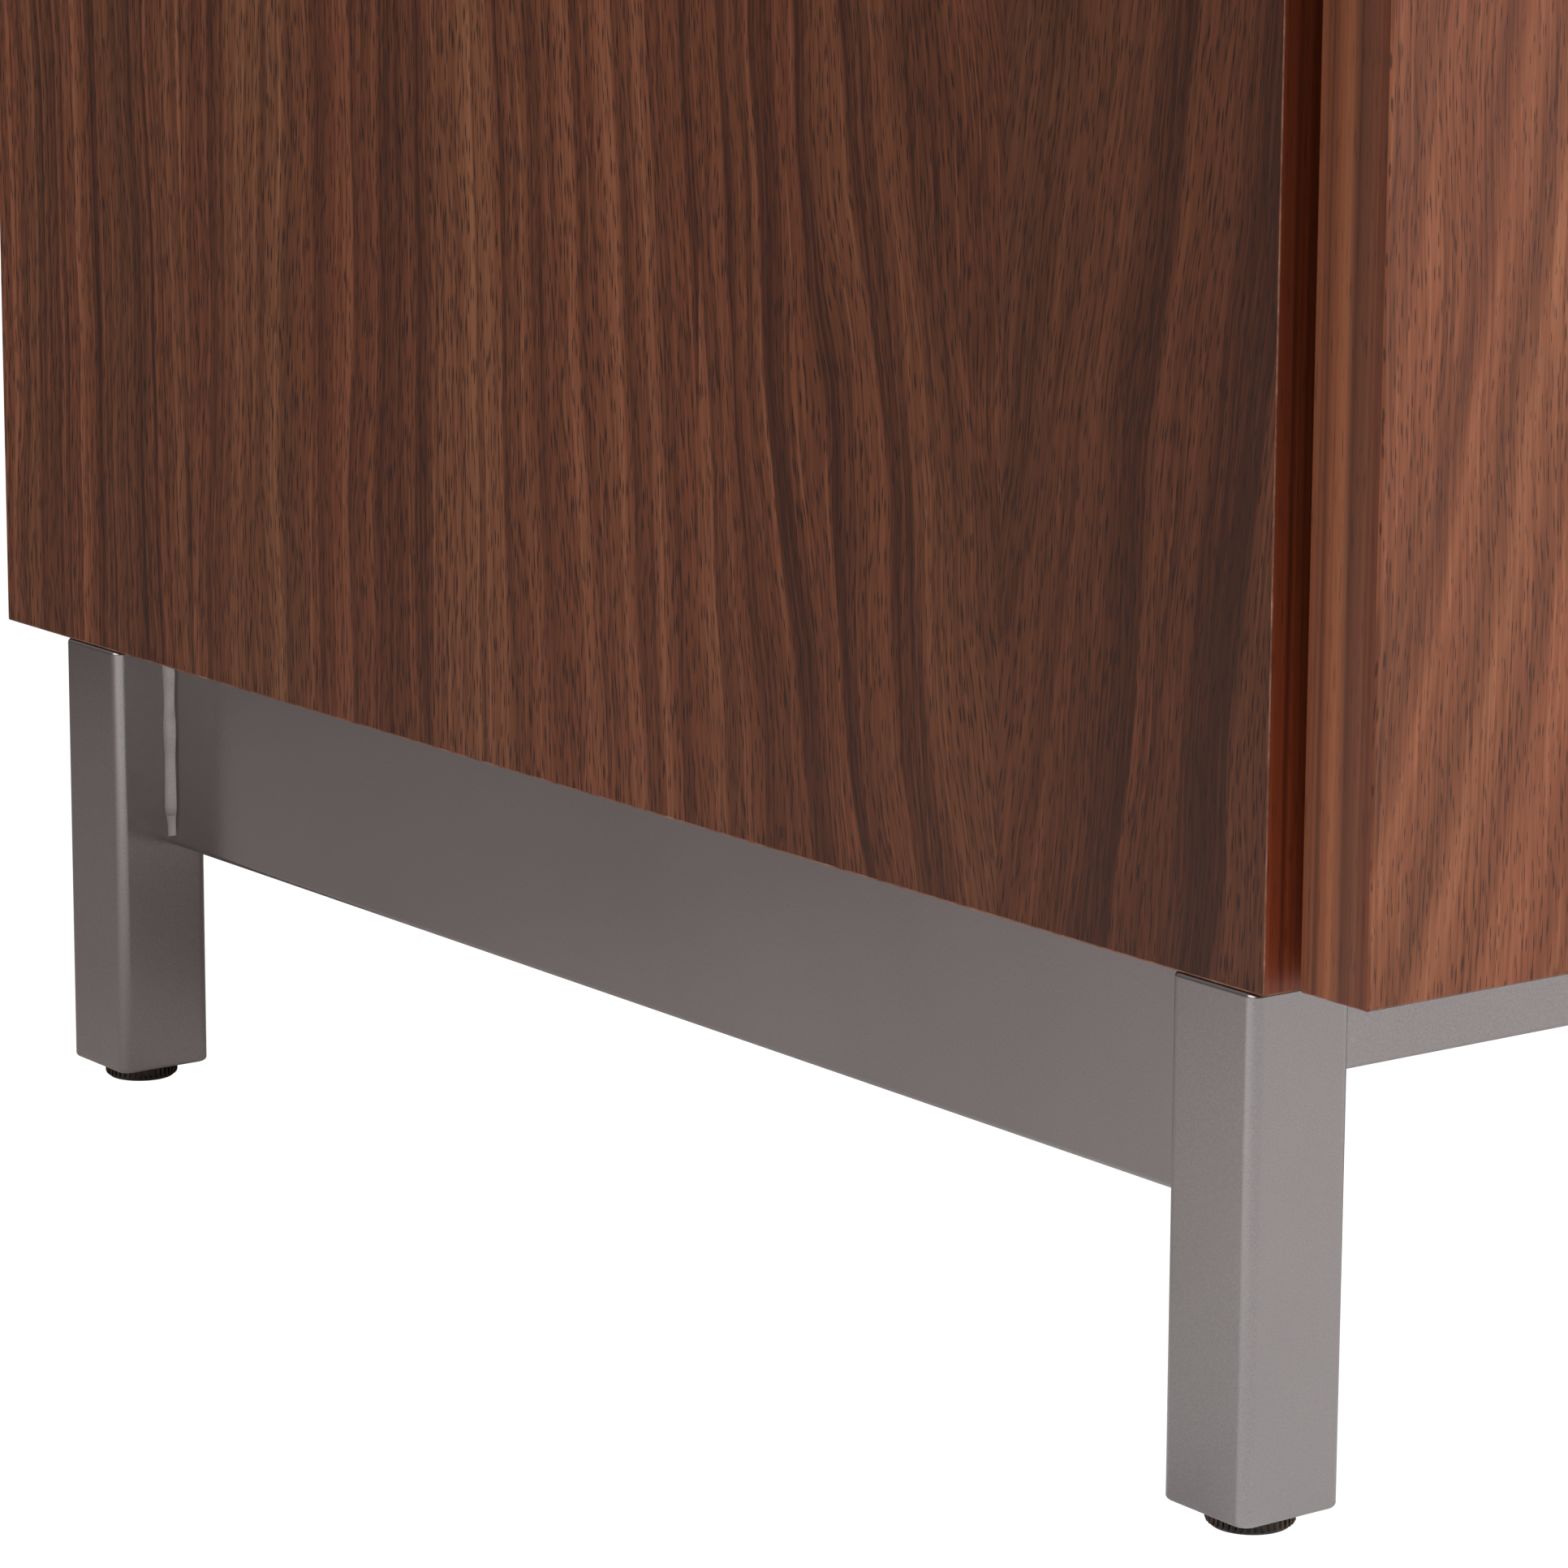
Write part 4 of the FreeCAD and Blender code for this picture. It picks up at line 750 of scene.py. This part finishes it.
def bead_tree():
    """Weld bead along an edge of the marks: a little uneven, thin where it runs out at its foot."""
    g, given = shape_tree("weld_bead", {"Radius": 5.0 * MM, "Tail": 5.5 * MM})
    path = g.out("GeometryNodeMeshToCurve", {0: given["Marks"]})
    path = g.out("GeometryNodeResampleCurve", {"Curve": path, "Length": 0.3 * MM}, mode="LENGTH")
    run = g.add("GeometryNodeSplineParameter").outputs["Length"]
    left = g.minus(g.add("GeometryNodeSplineLength").outputs["Length"], run)
    thin = g.remap(left, 0.0, g.times(given["Tail"], 1.5), 0.82, 1.0, soft=True)
    place = g.out("GeometryNodeInputPosition")
    bumps = g.add("ShaderNodeTexNoise", {"Vector": place, "Scale": 110.0, "Detail": 1.0}).outputs
    lumpy = g.remap(bumps["Fac"], 0.3, 0.7, 0.96, 1.04)
    radius = g.times(given["Radius"], g.times(thin, lumpy))
    path = g.out("GeometryNodeSetCurveRadius", {"Curve": path, "Radius": radius})
    # The path strays a little all along, and drifts towards the marks' facing at its foot
    stray = g.out("ShaderNodeVectorMath", {0: bumps["Color"], 1: (0.5, 0.5, 0.5)}, operation="SUBTRACT")
    stray = g.out("ShaderNodeVectorMath", {0: stray, "Scale": 0.45 * MM}, operation="SCALE")
    drift = g.out("GeometryNodeInputNamedAttribute", {"Name": "facing"}, data_type="FLOAT_VECTOR")
    reach = g.remap(left, 0.0, given["Tail"], 0.9 * MM, 0.0)
    drift = g.out("ShaderNodeVectorMath", {0: drift, "Scale": reach}, operation="SCALE")
    stray = g.out("ShaderNodeVectorMath", {0: stray, 1: drift}, operation="ADD")
    path = g.out("GeometryNodeSetPosition", {"Geometry": path, "Offset": stray})
    return deliver(g, (swept(g, path, circle(g, 44, 1.0)), "bead"))


def leg_tree():
    """Square tube with softly rounded ends, standing on its mark and bored for the foot's stud."""
    g, given = shape_tree("leg_tube", {
        "Side": 25.4 * MM, "Corner": 2.8 * MM, "Height": 107.5 * MM, "Foot Round": 1.0 * MM,
        "Top Round": 1.1 * MM, "Bore": 4.1 * MM, "Bore Depth": 39.0 * MM})
    steps = 6
    line = g.out("GeometryNodeCurvePrimitiveLine", {"End": (0.0, 0.0, 1.0)})
    line = g.out("GeometryNodeResampleCurve", {"Curve": line, "Count": 2 * steps}, mode="COUNT")
    # The first steps round the foot, the others the top
    number = g.out("GeometryNodeInputIndex")
    upper = g.maths("GREATER_THAN", number, steps - 0.5)
    lower = g.minus(1.0, upper)
    quarter = math.pi / 2 / (steps - 1)
    turn = g.times(g.minus(number, g.times(upper, float(steps))), quarter)
    rise, fall = g.maths("SINE", turn), g.minus(1.0, g.maths("COSINE", turn))
    low_z = g.times(given["Foot Round"], fall)
    high_z = g.maths("MULTIPLY_ADD", given["Top Round"], g.minus(rise, 1.0), given["Height"])
    low_in = g.times(given["Foot Round"], g.minus(1.0, rise))
    high_in = g.times(given["Top Round"], fall)
    up = g.plus(g.times(low_z, lower), g.times(high_z, upper))
    inset = g.plus(g.times(low_in, lower), g.times(high_in, upper))
    line = g.out("GeometryNodeSetPosition", {"Geometry": line, "Position": g.point(0.0, 0.0, up)})
    share = g.minus(1.0, g.over(inset, g.times(given["Side"], 0.5)))
    line = g.out("GeometryNodeSetCurveRadius", {"Curve": line, "Radius": share})
    sides = {"Width": given["Side"], "Height": given["Side"]}
    square = g.out("GeometryNodeCurvePrimitiveQuadrilateral", sides)
    square = g.out("GeometryNodeFilletCurve", {"Curve": square, "Count": 8, "Radius": given["Corner"]},
                   mode="POLY")
    drill = g.out("GeometryNodeMeshCylinder", {
        "Vertices": 32, "Radius": given["Bore"], "Depth": g.times(given["Bore Depth"], 2.0)})
    bored = g.out("GeometryNodeMeshBoolean", {"Mesh 1": swept(g, line, square), "Mesh 2": drill},
                  operation="DIFFERENCE", solver="EXACT")
    legs = g.out("GeometryNodeInstanceOnPoints", {"Points": given["Marks"], "Instance": bored})
    return deliver(g, (legs, "steel"))


def foot_tree():
    """Levelling foot: ribbed pad on a threaded stud."""
    g, given = shape_tree("levelling_foot", {
        "Pad Radius": 9.2 * MM, "Pad Height": 4.0 * MM, "Ribs": 38, "Rib": 0.50 * MM,
        "Stud Radius": 4.0 * MM, "Stud Height": 34.0 * MM, "Pitch": 1.25 * MM})
    core = g.minus(given["Pad Radius"], given["Rib"])

    def off_middle(share):
        return g.maths("ABSOLUTE", g.maths("MULTIPLY_ADD", share, 2.0, -1.0))

    def pad_radius(share):
        return g.times(core, g.remap(off_middle(share), 0.72, 1.0, 1.0, 0.93, soft=True))

    def rib_radius(share):
        return g.times(given["Rib"], g.remap(off_middle(share), 0.6, 1.0, 1.0, 0.35))

    disc = turned_shape(g, given["Pad Height"], 14, 48, pad_radius)
    ring = g.out("GeometryNodeMeshCircle", {"Vertices": given["Ribs"], "Radius": core})
    rib = turned_shape(g, g.times(given["Pad Height"], 0.72), 6, 6, rib_radius)
    ribs = g.out("GeometryNodeInstanceOnPoints", {"Points": ring, "Instance": rib})
    ribs = moved(g, ribs, g.times(given["Pad Height"], 0.14))
    root = g.minus(given["Stud Radius"], 0.6 * MM)
    stem = turned_shape(g, given["Stud Height"], 3, 24, lambda share: root)
    threaded = g.minus(given["Stud Height"], 2.0 * MM)
    coil = g.out("GeometryNodeCurveSpiral", {
        "Resolution": 20, "Rotations": g.over(threaded, given["Pitch"]), "Start Radius": root,
        "End Radius": root, "Height": threaded})
    thread = g.out("GeometryNodeCurveToMesh", {
        "Curve": coil, "Profile Curve": circle(g, 4, 0.58 * MM), "Fill Caps": True})
    stud = g.add("GeometryNodeJoinGeometry")
    g.feed(stud.inputs[0], moved(g, stem, g.minus(given["Pad Height"], 0.2 * MM)))
    g.feed(stud.inputs[0], moved(g, thread, g.plus(given["Pad Height"], 0.6 * MM)))
    return deliver(g, *[
        (g.out("GeometryNodeInstanceOnPoints", {"Points": given["Marks"], "Instance": part}), finish)
        for part, finish in ((disc, "foot"), (ribs, "foot_crest"), (stud.outputs[0], "zinc"))])


def solids(node):
    """Lowest and highest corners of each separate solid of a node, at rest."""
    shape = bmesh.new()
    shape.from_mesh(frame["nodes"][node].data)
    bmesh.ops.remove_doubles(shape, verts=shape.verts, dist=1e-6)
    left = set(shape.verts)
    boxes = []
    while left:
        group = {left.pop()}
        edge = set(group)
        while edge:
            edge = {e.other_vert(v) for v in edge for e in v.link_edges} - group
            group |= edge
        left -= group
        points = [v.co for v in group]
        boxes.append((Vector([min(p[k] for p in points) for k in range(3)]),
                      Vector([max(p[k] for p in points) for k in range(3)])))
    shape.free()
    return sorted(boxes, key=lambda box: tuple(round(c, 4) for c in box[0]))


def middle(box):
    return (box[0] + box[1]) / 2


def standing_mark(node):
    """A mark at the middle of the node's underside, facing up."""
    low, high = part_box(node)
    return ((low.x + high.x) / 2, (low.y + high.y) / 2, low.z), (0, 0, 1)


def build_base():
    """Legs and levelling feet."""
    marks = [standing_mark(f"leg_{end}") for end in LEG_ENDS]
    sizes = {"Side": leg_side, "Height": leg_high.z - leg_low.z}
    grown(leg_tree(), marks, "base_legs", "cabinet", sizes, [f"leg_{end}" for end in LEG_ENDS])
    pad_height = leg_low.z - foot_low.z
    sizes = {"Pad Radius": (foot_high.x - foot_low.x) / 2, "Pad Height": pad_height,
             "Stud Height": foot_high.z - foot_low.z - pad_height}
    tree = foot_tree()
    for end in LEG_ENDS:
        mark = standing_mark(f"foot_{end}")
        grown(tree, [mark], f"levelling_{end}", f"foot_{end}", sizes, [f"foot_{end}"])


def build_welds():
    """A bead in each corner between a leg and a rail."""
    marks, edges = [], []
    radius, sunk, under_case, over_foot = 5.0 * MM, 2.36 * MM, 0.4 * MM, 0.9 * MM
    for low, high in solids("weld_beads"):
        side_rail = high.z - low.z > 0.03
        centre = middle((low, high))
        turn = 1 if side_rail else -1
        way_x = turn * (1 if centre.x > 0 else -1)
        way_y = turn * (1 if centre.y < 0 else -1)
        x = (low.x if way_x > 0 else high.x) - way_x * sunk
        y = (low.y if way_y > 0 else high.y) - way_y * sunk
        drift = (0, way_y, 0) if side_rail else (way_x, 0, 0)
        edges.append((len(marks), len(marks) + 1))
        marks += [((x, y, case_bottom - under_case), drift), ((x, y, low.z + over_foot), drift)]
    sizes = {"Radius": radius}
    grown(bead_tree(), marks, "weld_runs", "cabinet", sizes, ["weld_beads"], edges, 60.0)


def build_screws():
    """Screws of the hinges, runners, frame tabs, latches and back panel."""
    nickel, zinc = screw_tree("screw_nickel", "nickel"), screw_tree("screw_zinc", "zinc")
    wing, wing_line, plate_spread = 2.0 * MM, 37.0 * MM, 19.5 * MM
    marks = []
    for box in solids("hinge_plates"):
        side = -1 if middle(box).x < 0 else 1
        face = box[0].x + wing if side < 0 else box[1].x - wing
        marks += [((face, case_front + wing_line, middle(box).z + step), (-side, 0, 0))
                  for step in (-plate_spread, plate_spread)]
    grown(nickel, marks, "plate_screws", "cabinet", screw_size(3.6))
    flange, cup_spread = 1.2 * MM, 22.9 * MM
    for side in SIDES:
        marks = [((middle(box).x, door_high.y + flange, middle(box).z + step), (0, 1, 0))
                 for box in solids(f"hinge_cups_{side}") for step in (-cup_spread, cup_spread)]
        grown(nickel, marks, f"cup_screws_{side}", f"door_{side}", screw_size(3.5, 1.5, 0.8))
    tab_spread = 11.0 * MM
    marks = []
    for box in solids("frame_tabs"):
        centre = middle(box)
        along_x = box[1].x - box[0].x > 0.03
        for off in (-tab_spread, tab_spread):
            x, y = (centre.x + off, centre.y) if along_x else (centre.x, centre.y + off)
            marks.append(((x, y, box[0].z), (0, 0, -1)))
    grown(zinc, marks, "frame_screws", "cabinet", screw_size(4.2, 2.2))
    latch_inset = 6.0 * MM
    marks = [((middle(box).x, box[1].y - latch_inset, box[0].z), (0, 0, -1))
             for box in solids("latch_housings")]
    grown(zinc, marks, "latch_screws", "cabinet", screw_size(3.0, 1.4, 0.8, 0.7))
    low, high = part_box("back_panel")
    inset, across, up = 5 * MM, 8, 4
    marks = []
    for k in range(across + 1):
        x = low.x + inset + (high.x - low.x - 2 * inset) * k / across
        marks += [((x, high.y, z), (0, 1, 0)) for z in (low.z + inset, high.z - inset)]
    for k in range(1, up):
        z = low.z + (high.z - low.z) * k / up
        marks += [((x, high.y, z), (0, 1, 0)) for x in (low.x + inset, high.x - inset)]
    grown(zinc, marks, "back_screws", "cabinet", screw_size(3.4, 1.3, 0.8))
    web = 1.2 * MM
    along_runner = (0.035, 0.16, 0.29, 0.385)
    for level in LEVELS:
        marks = []
        for box in solids(f"runner_inner_{level}"):
            side = -1 if middle(box).x < 0 else 1
            face = box[1].x - web if side < 0 else box[0].x + web
            marks += [((face, box[0].y + along, middle(box).z), (side, 0, 0)) for along in along_runner]
        name, sizes = f"drawer_screws_{level}", screw_size(3.4, 1.6, 0.9)
        grown(zinc, marks, name, f"drawer_{level}", sizes)


def build_pin_rows():
    """Rows of spare shelf-pin holes above and below the pins."""
    shelf_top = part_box("shelf_left")[1].z
    pitch, clear = 32 * MM, 4 * MM
    marks = []
    for box in solids("shelf_pins"):
        centre = middle(box)
        side = -1 if centre.x < 0 else 1
        low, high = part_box(f"partition_{'left' if side < 0 else 'right'}")
        wall, way = (low.x if side < 0 else high.x), (side, 0, 0)
        if min(abs(box[0].x), abs(box[1].x)) > 0.5:
            wall, way = -side * side_high.x, (-side, 0, 0)
        for step in (-4, -3, -2, -1, 1, 2, 3, 4):
            z = centre.z + step * pitch
            if not centre.z < z < shelf_top + clear:
                marks.append(((wall, centre.y, z), way))
    grown(sleeve_tree(), marks, "pin_hole_rows", "cabinet")


def build_bumpers():
    """Two clear bumpers on the free edge of each door."""
    tree = bumper_tree()
    from_edge, from_foot, from_head = 9 * MM, 30 * MM, 70 * MM
    for name, hand in SIDES.items():
        low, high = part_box(f"door_{name}")
        x = (high.x if hand < 0 else low.x) + hand * from_edge
        marks = [((x, high.y, z), (0, 1, 0)) for z in (low.z + from_foot, high.z - from_head)]
        grown(tree, marks, f"bumpers_{name}", f"door_{name}", {"Height": 3.2 * MM})


# Room, lights and camera

def floor_sheet(name, height, tones, glow, wall=0.0):
    """A wide level sheet of pale material, with walls far off; tones gives its colours from front to rear."""
    material, g, coords = start_finish(name)
    blotch = g.times(g.noise(coords, 3.0, 2.0), 0.1)
    colour = g.ramp(g.remap(g.plus(g.axis(coords, "y"), blotch), -1.0, 1.0), tones)
    lay_finish(g, {"Base Color": colour, "Emission Color": colour, "Roughness": 0.95,
                   "Emission Strength": glow})
    mesh = bpy.data.meshes.new(name)
    reach = 60.0
    corners = [(-reach, -reach), (reach, -reach), (reach, reach), (-reach, reach)]
    points = [(x, y, height) for x, y in corners]
    faces = [(0, 1, 2, 3)]
    if wall:
        points += [(x, y, height + wall) for x, y in corners]
        faces += [(k, k + 4, (k + 1) % 4 + 4, (k + 1) % 4) for k in range(4)]
    mesh.from_pydata(points, [], faces)
    mesh.materials.append(material)
    sheet = placed(name, mesh)
    return sheet


def lay_floor():
    """The pale floor that is seen, and the greyer one that lights the metal from below: it glows faintly and
    is painted lighter and darker from front to rear, painted light and shade that the metal reflects.

    The seen one lies as low as a foot reaches when it is screwed out, and shows no shadow at rest.
    """
    pale = (0.24, 0.24, 0.24)
    foot_reach = next(joint["range_m"][1] for joint in frame["joints"]
                      if joint["name"] == "foot_front_left_level")
    seen = floor_sheet("floor", -foot_reach - 0.5 * MM, [(0.0, pale), (1.0, pale)], glow=4.4, wall=40.0)
    seen.visible_diffuse = False
    seen.visible_glossy = False
    seen.visible_shadow = False
    # Painted light and shade: a faint glow, and tones light near the front and dark towards the rear, for the
    # metal to reflect
    painted_bounce = floor_sheet("floor_bounce_painted_light", -0.5 * MM, [
        (0.22, (0.67, 0.68, 0.69)), (0.40, (0.86, 0.87, 0.89)), (0.48, (0.92, 0.92, 0.93)),
        (0.60, (0.66, 0.62, 0.61)), (0.68, (0.475, 0.435, 0.430)), (0.82, (0.40, 0.365, 0.360)),
        (0.92, (0.20, 0.180, 0.175))], glow=0.14)
    painted_bounce.visible_camera = False


def soft_light(name, place, target, width, height, power):
    data = bpy.data.lights.new(name, "AREA")
    data.shape = "RECTANGLE"
    data.size = width
    data.size_y = height
    data.energy = power
    item = placed(name, data)
    item.location = place
    item.rotation_euler = (Vector(target) - Vector(place)).to_track_quat("-Z", "Y").to_euler()


def studio_world():
    """A dim room, lighter overhead."""
    world = bpy.data.worlds.new("studio")
    world.use_nodes = True
    bpy.context.scene.world = world
    g = Graph(world.node_tree)
    towards = g.add("ShaderNodeTexCoord").outputs["Generated"]
    level = g.remap(g.axis(towards, "z"), -0.05, 0.6, 0.19, 0.38, soft=True)
    back = world.node_tree.nodes["Background"]
    back.inputs["Color"].default_value = (1.0, 0.99, 0.985, 1.0)
    g.feed(back.inputs["Strength"], level)


def light_room():
    studio_world()
    aim = (case_end + 0.15, case_front + 0.1, 0.2)
    soft_light("key_front_right", (2.1, -2.6, 2.3), aim, 2.8, 2.2, 186.0)
    soft_light("fill_left", (-3.6, -0.6, 2.2), aim, 3.6, 2.8, 78.0)
    soft_light("back_light", (0.6, 3.4, 2.6), (0.0, case_front + 0.4, 0.4), 3.0, 2.0, 36.0)
    bpy.context.scene.view_settings.view_transform = "Standard"


def place_camera():
    """The photograph's view: close to the lower front left corner, a little above it."""
    focal_pixels, frame_pixels = 7512.35, 1932.0
    data = bpy.data.cameras.new("camera")
    data.sensor_width = 36.0
    data.lens = data.sensor_width * focal_pixels / frame_pixels
    data.clip_start = 0.05
    camera = placed("camera", data)
    corner = Vector((case_end, case_front, case_bottom))
    yaw, pitch, roll = 0.6367, 0.2093, -0.0045
    camera.location = corner + Vector((-743.53, -851.67, 280.52)) * MM
    turn = Matrix.Rotation(-yaw, 3, "Z") @ Matrix.Rotation(math.pi / 2 - pitch, 3, "X")
    camera.rotation_euler = (turn @ Matrix.Rotation(-roll, 3, "Z")).to_euler()
    bpy.context.scene.camera = camera


dress_boards()
dress_fittings()
build_base()
build_welds()
build_screws()
build_pin_rows()
build_bumpers()
lay_floor()
light_room()
place_camera()
